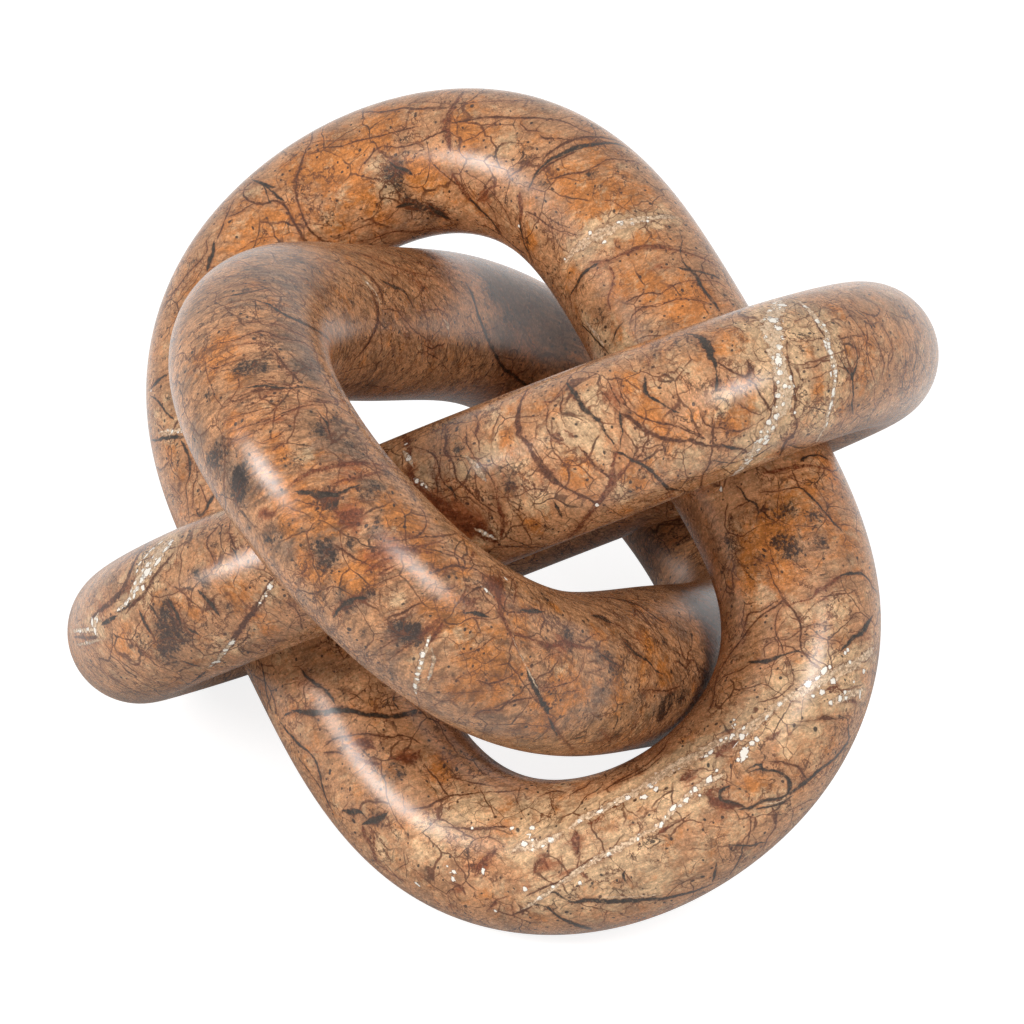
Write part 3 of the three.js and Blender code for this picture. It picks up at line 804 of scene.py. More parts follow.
        "rust": """
290 485 2, 300 478 3.5, 312 472 4.5, 325 468, 338 465 5, 350 464, 362 463 4, 375 464 3, 390 467 2, 402 470;
330 486 1.5, 345 480 3, 358 478, 370 474 3.5, 380 473 2;
300 400 1.2, 320 402 2.5, 345 401 2;
255 427 1.2, 275 420 2.5, 290 412 3, 305 406 2.5, 320 405;
337 512 3, 345 515 9, 354 514 10, 362 510 4;
340 524 2, 350 524 5, 360 520 2;
362 564 2, 375 555 3.5, 385 550, 395 548, 410 550 4, 420 551, 432 553 2.5;
366 573 2, 380 562 3, 390 558 2;
373 580 1.5, 384 571 2.5, 396 565;
400 545 1.5, 412 548 2.5, 425 545, 435 543, 443 540 1.5;
474 551 2, 472 556 4.5, 470 561 2;
486 589 4, 492 585 11, 499 582 12, 500 590 9, 499 600 6.5, 500 611 5, 504 621 4;
500 573 3, 500 580 6, 501 590 6;
503 578 2, 510 577 3, 514 582, 516 590 2.5, 515 597, 513 603 1.5;
466 604 2, 472 601 4, 478 598 1.5;
420 638 2, 426 631 5, 433 625 6, 439 620 3;
432 640 3, 437 632 5, 442 624 2.5;
515 633 2, 525 637 3, 535 640, 543 645 5, 552 646, 562 643 6, 572 645 5, 582 647 4, 592 648 3;
504 621 3.5, 508 628 4, 512 637 3.5, 517 648 3, 522 658 2.5;
546 712 2, 552 722 3, 559 733, 566 742, 573 749 3.5;
348 250 1.5, 360 254 2.5, 372 258, 385 263, 398 268, 410 272, 425 275 2, 440 278 1.5;
380 250 1.2, 395 255 2, 410 260, 425 266, 432 272 1.5;
262 512 3, 268 514 7, 274 512 3;
600 730 2, 608 738 3.5, 602 745 2
""",
        "dark": """
255 300 2, 270 305 3.5, 280 312 5, 292 318 5.5, 305 324, 318 331 5, 328 338 4;
213 302 1.2, 225 297 2, 240 294 2.5, 255 291, 268 288 1.5;
245 388 1.5, 260 386 3.5, 275 387 3, 290 388 2.5, 305 387, 320 391 2, 332 397 1.5;
297 492 3, 305 492 5, 315 494 8, 325 495 8, 335 495 6, 343 492 4, 350 488 3, 358 485 2;
381 280 2, 388 284 4, 395 287 4.5, 402 290 4, 408 297, 412 305 3;
466 283 3, 471 292 4.5, 475 303 5, 478 315, 482 325 4.5, 487 337, 492 347 5, 497 357 4.5, 502 366 4,
510 373, 518 379, 527 386 3;
470 268 2, 480 275 3, 486 280 2;
528 673 3, 532 681 6, 536 690 6.5, 540 698 5, 544 705 6, 548 712 5;
549 718 2, 553 727 4, 557 735 2;
520 610 2, 528 611 5, 536 611 4.5, 543 612 2;
600 653 1.5, 606 658 3, 612 662 2.5, 618 665 1.5;
592 616 2, 600 617 6, 606 620 6.5, 612 623 2.5;
600 597 2, 612 598 4, 622 600 4.5, 632 603 4, 640 606, 648 612 3.5, 655 617 3, 662 622 2;
622 640 2, 628 646 3.5, 635 653 4, 643 658 3, 650 663, 655 670 2.5, 662 674 2;
418 700 2, 420 708 3, 424 716 2;
334 616 2, 340 608 5, 347 603 6, 355 599 5, 362 598 5;
465 613 2, 475 613 5, 486 616 3;
572 739 2, 578 738 4, 586 736 2;
600 748 2, 610 741 3, 622 735 2;
318 412 2, 326 422 3, 330 434 2;
262 380 1.5, 270 384 2, 278 385 1.5
""",
        "grey": """
432 650 2.5, 434 660 5, 431 671 4, 428 680 2;
443 318 2, 448 326 5, 449 334 2.5
""",
        "pale": """
429 638 3, 427 645 4, 423 654 6, 421 663 5, 419 670 6, 417 678, 415 686, 416 693 3;
514 640 1, 519 652 1.2, 525 664 1.5, 530 674 2, 536 686 1.5, 540 693 1;
365 281 3, 371 287 5, 376 293 4, 379 301 2;
484 588 3, 487 591 4, 490 594 2
""",
    },
}

# Single white crystals: x, y and half width, or x, y, half length, half width and the turn of
# the length in degrees, counted from the frame's right upwards.
CRYSTALS = {
    "upright_link": """
744 754 7 4 65, 738 760 2, 742 737 3, 732 736 3.5 1.8 40, 752 743 2.6, 757 739 2.4, 744 728 1.8,
734 720 1.6, 735 725 1.3, 711 752 4 1.8 40, 706 756 2.4 1.6 40, 709 780 4 2.6 70, 695 789 2.6, 691 792 1.5,
721 740 1.8, 726 738 1.4, 673 808 3.4 2 55, 661 825 3.2 2 60, 808 684 3.8, 824 671 4.6 2.4 45, 830 667 1.8,
833 681 3, 822 692 2.6, 813 696 1.8, 845 692 2, 840 699 2.8 3.6 0, 846 698 2, 831 703 2.4,
860 695 1.6 4.4 0, 864 671 2.4, 854 682 1.6, 850 662 1.8, 817 678 3.4 1.6 35, 848 650 2, 845 653 1.6,
600 811 4 2 15, 656 789 2.5, 651 787 2, 628 798 2.6, 644 797 3.4 2.2 0, 512 828 2.4 1.8 40, 532 828 2.4,
524 844 3, 532 840 1.4, 543 846 1.6, 638 839 1.8, 553 887 1.6, 454 872 2.4, 453 879 2.4, 483 871 4.4 1.5 80,
417 884 4 1.5 -35, 447 866 1.2, 472 828 1.4, 619 222 2.2 1.4 10, 590 233 2, 604 242 2.4 1.6 30, 565 259 1.6,
648 221 1.6, 172 432 1.8, 168 430 1.2, 178 432 1.4, 151 391 1.2, 721 489 1.6 3 0, 519 226 1.4, 580 883 2,
525 889 2.2, 495 911 1.6, 700 795 1.4, 686 800 3 2.4 30, 717 770 2 1.4 40
""",
    "slanted_link": """
782 305 4.6 3 -25, 773 320 4 5 60, 778 328 3 4 60, 778 361 4 4.6 0, 776 417 2.2 3 0, 769 422 2.4 3.4 -10,
773 428 2.6 1.8 50, 766 442 3.4 2.2 40, 761 432 1.6, 758 450 3 1.6 45, 748 462 4.5 2.2 45, 740 470 5 2 45,
730 479 4.5 1.6 42, 825 342 2.2 1.6 -50, 829 347 1.6, 832 357 1.4, 834 366 1.6, 831 374 1.3 2.4 0,
836 376 1.4, 835 381 1.5, 833.5 392 1.8 6 -4, 831 405 1.7 4.6 -12, 827 424 1.3 3.4 -10, 824 325 1.6,
826 331 1.3, 795 413 1.6 2 0, 171 542 3.2 2.2 30, 166 549 3.6 2.6 40, 158 561 6 2.6 50, 147 572 6 4 35,
142 579 4 3 50, 143 588 2.2 3 20, 134 596 2 2.6 0, 152 549 4 1.5 40, 146 556 4 1.5 40, 140 563 3 1.4 50,
137 571 1.6 2.4 0, 160 543 3 1.3 35, 127 603 3 1.3 40, 118 610 2.6 1.3 35, 92 622 2.4 3.6 0, 97 620 2 2.6 0,
95 631 2 3.6 15, 80 631 3 2 10, 88 629 1.6, 270 587 2.4 3 0, 266 596 1.6 1.2 40, 260 603 1.8 1.2 0,
232 643 4.5 2.2 60, 226 650 3 1.8 50, 216 662 5 2.2 45, 408 459 2.8 2.4 0, 406 444 2 1.4 20, 417 481 2,
422 484 1.7, 426 487 1.5, 597 505 1.8, 485 533 2, 490 536 1.2, 480 531 1.1
""",
    "front_link": """
428 641 1.4 2 0, 427 645 1.1 1.8 0, 423 654 2 4.2 -12, 421 663 1.5 2.2 -10, 419 668 2 1.8 0,
418 674 2.6 2 0, 417 679 2.2 1.8 0, 415 686 1.8 3.8 5, 416 693 1.1 1.6 0, 486 590 2.2 1.6 -40,
506 579 2.4 1.2 -25
""",
}

# Soft patches: x, y, radius and how strong they are.
# soot: clouded dark. rust: red-brown. ochre: orange. cream: light. ash: grey.
PATCHES = {
    "upright_link": {
        "soot": """
410 206 10 0.5, 428 209 10 0.6, 441 215 8 0.5, 394 172 10 0.6, 740 520 22 0.4, 800 540 26 0.5,
762 572 20 0.4, 822 515 16 0.4, 775 515 16 0.4, 735 570 14 0.3, 840 585 14 0.3, 393 175 10 1.2,
398 165 8 0.7, 400 190 9 0.6, 408 204 9 0.9, 438 212 10 0.8, 420 206 8 0.5, 192 262 9 0.7, 590 174 6 1,
544 183 5 0.9, 636 178 4 0.8, 600 308 14 0.5, 600 322 8 0.5, 790 550 10 1, 777 541 7 1, 822 543 8 0.8,
733 550 11 0.6, 728 540 7 0.6, 790 508 10 0.7, 815 515 8 0.6, 764 510 4 1, 809 596 4 1, 760 558 8 0.5,
850 560 8 0.5, 352 812 9 0.8, 376 820 11 1, 450 753 8 0.8, 400 774 8 1, 385 774 5 0.7, 394 763 5 0.9,
413 763 5 0.8, 343 728 6 0.6, 345 692 10 0.6, 300 695 8 0.5, 340 670 16 0.5, 310 672 8 0.6, 170 400 10 0.7,
310 710 8 0.5, 604 876 7 0.6, 590 885 6 0.7, 716 803 8 0.8, 720 875 7 0.5, 503 917 7 0.6, 740 772 7 0.6,
460 112 5 0.4, 560 860 4 0.3, 708 248 8 0.6, 780 690 5 0.5, 516 803 5 0.8, 668 839 4 0.6
""",
        "rust": """
600 850 12 0.5, 562 872 12 0.5, 640 822 12 0.5, 690 792 12 0.5, 760 735 12 0.4, 800 712 12 0.4,
545 862 10 0.6, 470 868 10 0.5, 835 690 10 0.5, 484 197 8 1, 600 266 11 0.5, 660 264 10 0.7, 868 635 10 0.8,
730 745 16 0.7, 692 774 12 0.6, 725 800 18 0.6, 487 863 13 0.7, 576 842 11 0.6, 525 888 9 0.5,
362 745 10 0.9, 405 757 12 0.9, 460 890 12 0.6, 540 866 10 0.5, 340 190 18 0.3, 640 780 12 0.3,
500 905 12 0.5, 665 830 8 0.6, 600 820 14 0.5, 850 695 12 0.5, 490 225 20 0.35, 570 330 12 0.5,
300 680 20 0.4
""",
        "ochre": """
320 160 30 0.8, 380 130 26 0.7, 600 150 24 0.5, 620 200 26 0.7, 690 300 24 0.8, 240 240 24 0.7,
210 290 24 0.6, 800 500 26 0.7, 840 540 24 0.6, 770 560 26 0.8, 830 470 20 0.6, 470 130 22 0.5,
330 230 20 0.5, 420 172 14 0.9, 340 172 26 0.7, 350 190 16 0.7, 378 212 14 0.6, 282 172 14 0.6,
280 220 18 0.7, 590 195 26 0.9, 560 170 16 0.6, 640 240 16 0.6, 650 285 20 0.7, 690 310 18 0.7,
620 285 16 0.5, 470 110 14 0.5, 780 530 22 0.5, 745 575 16 0.6, 770 530 14 0.5, 790 580 14 0.4,
365 190 12 0.6, 530 245 20 0.6, 440 190 18 0.5, 750 785 16 0.5, 440 760 22 0.5, 700 745 10 0.5,
480 740 14 0.3, 160 350 14 0.5, 172 455 14 0.4
""",
        "cream": """
385 186 13 0.9, 378 163 10 0.7, 505 145 14 0.7, 470 812 30 0.8, 560 880 40 0.7, 540 810 30 0.8,
640 870 40 0.7, 815 650 14 0.6, 790 675 16 0.5, 800 612 20 0.5, 830 610 20 0.4, 760 598 14 0.5,
250 192 10 0.5, 800 735 26 0.6, 770 705 24 0.6, 470 730 10 0.2, 160 415 12 0.6, 380 850 22 0.6,
330 215 16 0.3, 850 605 18 0.3, 430 845 30 0.6, 740 820 40 0.4
""",
        "ash": """
430 222 26 0.8, 400 228 16 0.6, 375 228 14 0.4, 600 268 14 0.8, 600 300 14 0.5, 640 330 20 0.6,
580 130 12 0.6, 780 645 20 0.4, 700 265 14 0.4, 550 270 16 0.4, 300 700 16 0.4, 330 690 20 0.4,
548 840 14 0.5, 725 870 16 0.5, 630 912 18 0.7, 700 700 22 0.5, 760 680 14 0.4, 690 880 16 0.4,
470 215 14 0.4, 700 250 16 0.5, 620 145 10 0.4
""",
    },
    "slanted_link": {
        "soot": """
166 628 20 0.5, 200 575 9 0.5, 205 590 8 0.6, 168 600 10 0.5, 190 640 14 0.4, 168 624 12 1.3,
172 644 12 0.9, 160 650 14 0.7, 175 665 14 0.7, 113 580 10 0.8, 195 572 6 0.8, 212 606 7 0.7, 168 608 7 0.8,
229 606 6 0.6, 510 487 9 1.1, 459 449 7 1.1, 461 421 6 0.7, 600 505 4 0.4, 722 414 5 0.9, 703 344 8 0.5,
605 365 10 0.6, 655 356 8 0.7, 690 345 8 0.5, 620 418 5 0.9, 629 412 4 1, 648 453 5 0.6, 850 373 4 0.7,
811 384 4 0.8, 783 440 6 0.6, 638 508 5 0.6, 750 372 5 0.6, 547 440 4 0.9, 585 403 5 0.7, 610 400 8 0.4,
900 345 12 0.3, 890 410 8 0.4, 740 418 4 0.4, 506 430 4 0.7, 440 503 10 0.5, 720 385 6 0.5
""",
        "rust": """
455 515 22 1, 478 530 16 0.9, 430 492 10 0.8, 412 470 8 0.8, 545 475 8 0.5, 615 395 18 0.7, 612 485 9 0.6,
128 585 12 0.9, 100 612 12 0.9, 85 640 10 0.7, 255 608 9 0.8, 785 392 12 0.5, 825 325 8 0.5, 770 440 12 0.4,
505 475 8 0.4, 780 452 9 0.6, 730 382 10 0.4, 860 350 14 0.3, 885 365 18 0.3, 795 440 8 0.4, 590 520 8 0.5,
475 430 5 0.7, 660 505 14 0.6, 160 660 20 0.3
""",
        "ochre": """
580 470 18 0.8, 650 405 16 0.9, 625 375 12 0.5, 735 335 16 0.8, 762 400 12 1, 740 418 14 0.9,
820 395 16 0.9, 812 350 12 0.7, 838 312 10 0.8, 845 358 10 0.7, 505 445 16 0.6, 540 415 12 0.5,
640 480 16 0.6, 665 500 14 0.7, 530 525 14 0.5, 555 395 12 0.5, 215 560 14 0.5, 235 595 14 0.9,
195 612 12 0.6, 155 590 10 0.5, 870 345 12 0.6, 720 350 12 0.6, 700 410 14 0.5, 660 430 12 0.5,
840 410 12 0.6, 260 630 16 0.6, 865 380 14 0.4, 130 650 16 0.4, 770 335 8 0.3
""",
        "cream": """
570 425 24 0.9, 600 400 16 0.6, 490 455 18 0.8, 460 470 12 0.8, 540 500 18 0.6, 590 440 16 0.8,
620 495 14 0.6, 680 460 18 0.6, 735 365 12 0.7, 690 370 14 0.5, 725 400 14 0.7, 810 335 10 0.5,
430 465 12 0.6, 505 410 16 0.5, 640 440 14 0.6, 600 470 12 0.3, 665 385 12 0.4, 815 410 10 0.4,
870 388 10 0.5, 230 545 14 0.4, 140 640 14 0.3, 750 440 12 0.5, 520 465 14 0.5, 815 425 12 0.5
""",
        "ash": """
445 480 22 0.7, 430 470 14 0.6, 480 510 16 0.5, 890 330 20 0.4, 900 390 18 0.5, 870 300 14 0.5,
120 560 18 0.6, 90 590 16 0.7, 200 535 18 0.4, 170 640 18 0.5, 800 310 10 0.8, 780 350 12 0.6,
785 395 12 0.5, 665 468 10 0.5, 860 425 20 0.5, 700 480 18 0.3, 130 690 18 0.4, 250 650 22 0.4,
470 415 14 0.5, 595 385 8 0.5
""",
    },
    "front_link": {
        "soot": """
676 699 14 0.5, 658 710 12 0.5, 688 692 9 0.5, 648 718 9 0.5, 250 366 14 1, 236 371 8 0.8, 265 368 8 0.8,
245 290 8 0.9, 208 396 6 1, 195 406 8 0.7, 198 338 8 0.8, 212 460 15 1.1, 238 480 14 1.1, 226 448 12 0.6,
240 500 12 0.7, 320 430 14 0.9, 338 420 9 0.9, 352 445 13 0.7, 340 460 7 0.9, 305 368 15 0.6,
312 358 10 0.5, 320 497 12 1, 334 503 9 0.9, 333 490 6 0.8, 375 487 12 0.8, 362 495 8 0.6, 340 520 6 0.9,
378 528 9 0.7, 357 523 6 0.7, 331 556 10 1.1, 322 566 8 1.1, 325 543 8 0.9, 312 546 8 0.8, 268 541 9 1,
277 530 12 0.7, 293 560 7 0.9, 363 598 8 1, 370 589 8 0.7, 345 606 9 1, 395 628 10 1, 408 636 13 1.1,
416 628 8 0.7, 350 540 10 0.4, 350 545 7 0.8, 547 600 6 0.9, 530 598 8 0.6, 567 632 9 0.9, 570 642 9 1,
532 611 7 0.7, 605 619 8 1, 663 641 8 1, 655 642 6 0.9, 628 645 8 0.7, 636 652 8 0.6, 667 702 14 1.1,
662 716 9 1, 682 698 8 0.9, 620 731 10 0.8, 610 739 8 0.6, 578 738 6 0.8, 597 718 6 0.6, 615 665 10 0.5,
640 664 10 0.4, 550 645 8 0.6, 370 383 10 0.8, 352 303 8 0.8, 428 255 9 0.8, 395 287 6 0.6, 412 303 8 0.5,
492 290 12 0.6, 506 312 12 0.7, 300 260 10 0.7, 315 268 9 0.7, 225 282 9 0.5, 205 288 9 0.4, 390 672 7 0.8,
378 669 6 0.6, 368 641 5 0.6, 364 632 5 0.7, 290 525 10 0.4, 300 460 12 0.5, 285 465 12 0.4, 330 583 14 0.4,
345 588 8 0.4, 478 613 8 0.6, 500 745 7 0.4, 480 350 8 0.4, 440 350 9 0.5, 690 670 8 0.5, 505 700 5 0.4,
595 700 12 0.4, 560 340 16 0.4, 185 390 8 0.5
""",
        "rust": """
345 468 20 0.7, 380 470 12 0.7, 348 514 14 1, 352 524 9 0.8, 395 553 22 0.6, 370 560 12 0.5, 495 586 14 1,
500 600 8 0.7, 432 630 11 0.8, 560 645 14 0.8, 535 641 10 0.6, 240 340 24 0.4, 290 410 26 0.4,
265 514 10 0.9, 330 270 22 0.4, 380 262 22 0.5, 410 275 20 0.5, 425 290 16 0.5, 430 350 16 0.5,
375 300 12 0.4, 470 602 8 0.7, 605 740 12 0.5, 475 555 6 0.6, 640 635 16 0.4, 400 355 22 0.3,
230 410 18 0.3, 450 375 20 0.3, 650 690 16 0.3, 380 540 12 0.3
""",
        "ochre": """
270 470 26 0.5, 420 560 24 0.5, 520 630 30 0.5, 240 430 24 0.5, 300 500 26 0.6, 450 620 26 0.5,
560 700 30 0.5, 620 690 24 0.5, 308 565 13 1.1, 362 575 17 1.3, 350 585 12 0.8, 390 510 20 0.7,
410 525 18 0.6, 330 530 12 0.7, 355 505 12 0.6, 325 448 12 0.7, 215 360 16 0.6, 222 340 14 0.5,
235 378 12 0.6, 665 675 14 1, 555 607 9 0.9, 600 632 16 0.7, 650 645 16 0.6, 560 670 16 0.7, 500 690 24 0.7,
480 660 18 0.7, 540 730 20 0.6, 460 695 20 0.6, 285 575 12 0.4, 320 515 10 0.6, 290 533 12 0.7,
345 480 12 0.6, 380 600 12 0.3, 200 360 12 0.5, 450 610 14 0.4, 430 545 14 0.5, 640 670 14 0.5,
588 690 16 0.4, 395 330 14 0.3, 460 570 14 0.4, 620 700 14 0.4
""",
        "cream": """
300 455 16 0.7, 315 450 12 0.5, 258 362 12 0.6, 268 405 14 0.6, 285 412 10 0.5, 465 632 18 0.8,
450 545 12 0.6, 565 665 14 0.8, 510 588 7 0.9, 495 640 12 0.6, 390 600 14 0.7, 400 600 10 0.5,
640 728 16 0.8, 650 712 10 0.6, 345 500 9 0.7, 355 550 9 0.6, 395 527 7 0.7, 465 585 12 0.5, 365 283 9 0.9,
435 318 10 0.6, 420 345 9 0.6, 275 345 12 0.4, 520 655 10 0.5, 570 605 10 0.4, 440 580 10 0.4,
230 395 10 0.4, 362 535 8 0.5, 485 315 8 0.5, 460 650 18 0.3
""",
        "ash": """
300 350 24 0.8, 310 370 18 0.7, 300 315 22 0.7, 290 285 24 0.7, 260 270 22 0.6, 320 290 18 0.6,
200 440 22 0.6, 230 470 24 0.7, 330 440 22 0.6, 355 455 18 0.6, 375 490 14 0.6, 185 380 20 0.4,
520 300 34 1.1, 560 330 34 1.1, 490 280 22 0.8, 540 300 24 1, 500 340 22 0.7, 380 530 12 0.5,
325 550 16 0.6, 285 545 16 0.5, 400 632 16 0.7, 390 660 16 0.5, 600 700 24 0.6, 640 700 16 0.5,
570 635 12 0.5, 660 705 18 0.6, 630 730 14 0.5, 600 655 14 0.4, 450 280 16 0.4, 460 600 10 0.3,
260 490 18 0.5, 350 600 16 0.5, 680 630 20 0.5, 700 610 20 0.8, 235 300 18 0.4, 370 385 18 0.5,
300 590 16 0.3
""",
    },
}


# Laying the marks on the stone
#
# Each vertex near a mark gets the mark's measures as attributes, which the material reads.
# These measures change evenly over the skin, so they give a sharp edge between the vertices.
# In millimetres.

VEIN_LAYERS = 9
CRYSTAL_LAYERS = 4
TONES = {"pale": 0.0, "grey": 1.0, "rust": 2.0, "brown": 3.0, "dark": 4.0}
PATCH_KINDS = [("ochre", "cream", "ash"), ("soot", "rust")]

SAMPLE_PIXELS = 2.5     # between the places along a picked vein
THINNEST_PIXELS = 1.0   # of a picked vein
HOLD = 1.0              # past a vein's edge, over which its width still holds
CLEAR = 0.9             # past that, over which no other vein of its layer may come
END_TAPER = 0.8         # past a vein's last place, over which it runs out
FAR = 9.0               # away from any mark
PATCH_FALL = 0.9        # how fast a patch fades: it keeps exp(-PATCH_FALL) at its radius
PATCH_END = 2           # how many of its radii it goes out

# The stone is paler beside a pale vein: at every how many of its places, how far past its
# width, and how strongly.
PALE_STRIDE = 3
PALE_REACH = 1.0
PALE_STRENGTH = 0.40


class Skin:
    """A link's skin in millimetres, and the marks that are laid on it."""

    def __init__(self, mesh):
        count = len(mesh.vertices)
        flat = np.empty(count * 3)
        mesh.vertices.foreach_get("co", flat)
        self.points = flat.reshape(-1, 3) / MM
        faces = [tuple(face.vertices) for face in mesh.polygons]
        self.tree = BVHTree.FromPolygons([Vector(point) for point in self.points], faces)
        self.veins = [np.tile([FAR, 0.0, 3.0], (count, 1)) for _ in range(VEIN_LAYERS)]
        self.crystals = [np.tile([0.0, 0.0, 1.0], (count, 1)) for _ in range(CRYSTAL_LAYERS)]
        self.vein_taken = np.zeros((VEIN_LAYERS, count), bool)
        self.crystal_taken = np.zeros((CRYSTAL_LAYERS, count), bool)
        self.patches = {kind: np.zeros(count) for kinds in PATCH_KINDS for kind in kinds}

    def near(self, low, high):
        inside = (self.points > low) & (self.points < high)
        return np.flatnonzero(inside.all(axis=1))


def camera_axes():
    forward = (CAMERA_LOOKS_AT - CAMERA_AT).normalized()
    right = forward.cross(Vector((0, 0, 1))).normalized()
    return forward, right, right.cross(forward)


def through_pixel(skin, x, y):
    """Where the ray through a pixel of the photograph's frame meets a skin.

    Gives the place, the skin's normal there and how far it is from the camera.
    """
    forward, right, up = camera_axes()
    half = FRAME_PIXELS / 2
    ray = forward + right * ((x - half) / FOCAL_PIXELS) + up * ((half - y) / FOCAL_PIXELS)
    place, normal, _, away = skin.tree.ray_cast(CAMERA_AT / MM, ray.normalized())
    return place, normal, away


def picks_in(text):
    """The numbers of each pick in a text."""
    return [[float(number) for number in pick.split()] for pick in text.split(",")]


def vein_picks(text):
    """x, y and width of each of a vein's picks. A width stays until the next one."""
    picks = []
    width = 0
    for x, y, *widths in picks_in(text):
        width = widths[0] if widths else width
        picks.append((x, y, width))
    return np.array(picks)


def smooth_line(picks):
    """Even samples along a smooth line through the picks."""
    padded = np.vstack([2 * picks[0] - picks[1], picks, 2 * picks[-1] - picks[-2]])
    line = []
    for before, start, end, after in zip(padded, padded[1:], padded[2:], padded[3:]):
        steps = max(1, round(math.dist(start[:2], end[:2]) / SAMPLE_PIXELS))
        for part in np.arange(steps) / steps:
            curve = (
                2 * start + (end - before) * part
                + (2 * before - 5 * start + 4 * end - after) * part ** 2
                + (3 * start - before - 3 * end + after) * part ** 3
            ) / 2
            line.append(curve)
    line.append(picks[-1])
    return line


def picked_line(skin, text):
    """A vein's places, normals and widths on the skin, from picks in the frame."""
    places, normals, widths = [], [], []
    for x, y, width in smooth_line(vein_picks(text)):
        place, normal, away = through_pixel(skin, x, y)
        if place is None:
            continue
        places.append(place)
        normals.append(normal)
        widths.append(max(width, THINNEST_PIXELS) * away / FOCAL_PIXELS)
    return np.array(places), np.array(normals), np.array(widths)


def lay_vein(skin, places, normals, widths, kind):
    """Gives the skin near a line its distance from it, half its width and its tone."""
    if len(places) < 3:
        return
    tangents = np.gradient(places, axis=0)
    sides = np.cross(normals, tangents)
    sides /= np.linalg.norm(sides, axis=1, keepdims=True) + 1e-9
    tangents /= np.linalg.norm(tangents, axis=1, keepdims=True) + 1e-9
    halves = widths / 2
    reach = halves.max() + HOLD + CLEAR
    rows = skin.near(places.min(axis=0) - reach, places.max(axis=0) + reach)
    apart = skin.points[rows][:, None] - places[None]
    closest = (apart ** 2).sum(axis=2).argmin(axis=1)
    away = apart[np.arange(len(rows)), closest]
    distance = np.linalg.norm(away, axis=1)
    half = halves[closest]
    offset = (away * sides[closest]).sum(axis=1)
    ahead = (away * tangents[closest]).sum(axis=1)
    beyond = np.where(closest == 0, -ahead, np.where(closest == len(places) - 1, ahead, 0))
    shown = half * np.clip(1 - np.maximum(beyond, 0) / END_TAPER, 0, 1)
    shown[distance > half + HOLD] = 0
    kept = distance < half + HOLD + CLEAR
    rows, offset, shown = rows[kept], offset[kept], shown[kept]
    for layer in range(VEIN_LAYERS):
        if not skin.vein_taken[layer][rows].any():
            skin.vein_taken[layer][rows] = True
            values = np.stack([offset, shown, np.full(len(rows), TONES[kind])], axis=-1)
            skin.veins[layer][rows] = values
            return


def lay_crystal(skin, place, normal, along, half_length, half_width):
    """Gives the skin near a crystal its own flat coordinates, in which its edge is at 1."""
    across = np.cross(normal, along)
    reach = max(half_length, half_width) + HOLD
    rows = skin.near(place - reach, place + reach)
    rows = rows[np.linalg.norm(skin.points[rows] - place, axis=1) < reach]
    away = skin.points[rows] - place
    for layer in range(CRYSTAL_LAYERS):
        if not skin.crystal_taken[layer][rows].any():
            skin.crystal_taken[layer][rows] = True
            skin.crystals[layer][rows, 0] = away @ along / half_length
            skin.crystals[layer][rows, 1] = away @ across / half_width
            skin.crystals[layer][rows, 2] = 0
            return


def lay_patch(skin, place, radius, strength, kind):
    rows = skin.near(place - PATCH_END * radius, place + PATCH_END * radius)
    distance = np.linalg.norm(skin.points[rows] - place, axis=1) / radius
    skin.patches[kind][rows] += strength * np.exp(-PATCH_FALL * distance ** 2)


def lay_vein_and_zone(skin, places, normals, widths, kind):
    """A vein, with paler stone on both sides of it where it is pale."""
    lay_vein(skin, places, normals, widths, kind)
    if kind == "pale":
        for place, width in zip(places[::PALE_STRIDE], widths[::PALE_STRIDE]):
            lay_patch(skin, place, PALE_REACH + width, PALE_STRENGTH, "cream")


def lay_picked_marks(skin, node):
    for kind, text in VEINS[node].items():
        for vein in text.split(";"):
            lay_vein_and_zone(skin, *picked_line(skin, vein), kind)
    _, right, up = camera_axes()
    for x, y, half_length, *rest in picks_in(CRYSTALS[node]):
        half_width, angle = rest if rest else (half_length, 0)
        place, normal, away = through_pixel(skin, x, y)
        if place is None:
            continue
        turned = right * math.cos(math.radians(angle)) + up * math.sin(math.radians(angle))
        along = (turned - normal * turned.dot(normal)).normalized()
        size = away / FOCAL_PIXELS
        lay_crystal(skin, np.array(place), np.array(normal), np.array(along),
                    half_length * size, half_width * size)
    for kind, text in PATCHES[node].items():
        for x, y, radius, strength in picks_in(text):
            place, _, away = through_pixel(skin, x, y)
            if place is not None:
                lay_patch(skin, np.array(place), radius * away / FOCAL_PIXELS, strength, kind)


# The sides that the photograph doesn't show get marks of the same kinds, by seeded chance.

HIDDEN_VEINS = {"brown": 190, "dark": 60, "rust": 42, "grey": 6, "pale": 20}
WIDEST = {"brown": 0.55, "dark": 0.8, "rust": 0.9, "grey": 0.9, "pale": 2.2}
SHORTEST = 6
MEAN_MORE = 13          # of a hidden vein's length, past the shortest
LONGEST = 60
STRIDE = 0.6
FEWEST_STRIDES = 5

# How a hidden vein turns, in radians a stride: what it keeps of its bend, how much the bend
# changes, and how much it kinks.
BEND_KEPT = 0.9
BEND_CHANGE = 0.018
KINK = 0.10

# Its width along it, as a share of its widest: at which parts of its length it is drawn, how
# thin its ends are, and between what shares the rest is.
SWELL_AT = (0, 0.15, 0.5, 0.85, 1)
SWELL_END = 0.3
SWELL_BETWEEN = (0.5, 1)

HIDDEN_PATCHES = {"soot": 90, "rust": 46, "ochre": 54, "cream": 44, "ash": 50}
PATCH_REACH = {"soot": 2.6, "rust": 2.2, "ochre": 5.0, "cream": 5.0, "ash": 3.4}
PATCH_LEAST = 1.0
PATCH_STRENGTHS = (0.5, 1.2)

GRAZING = 0.05          # cosine under which the camera sees too little of the stone
SIGHT_ROOM = 1.0


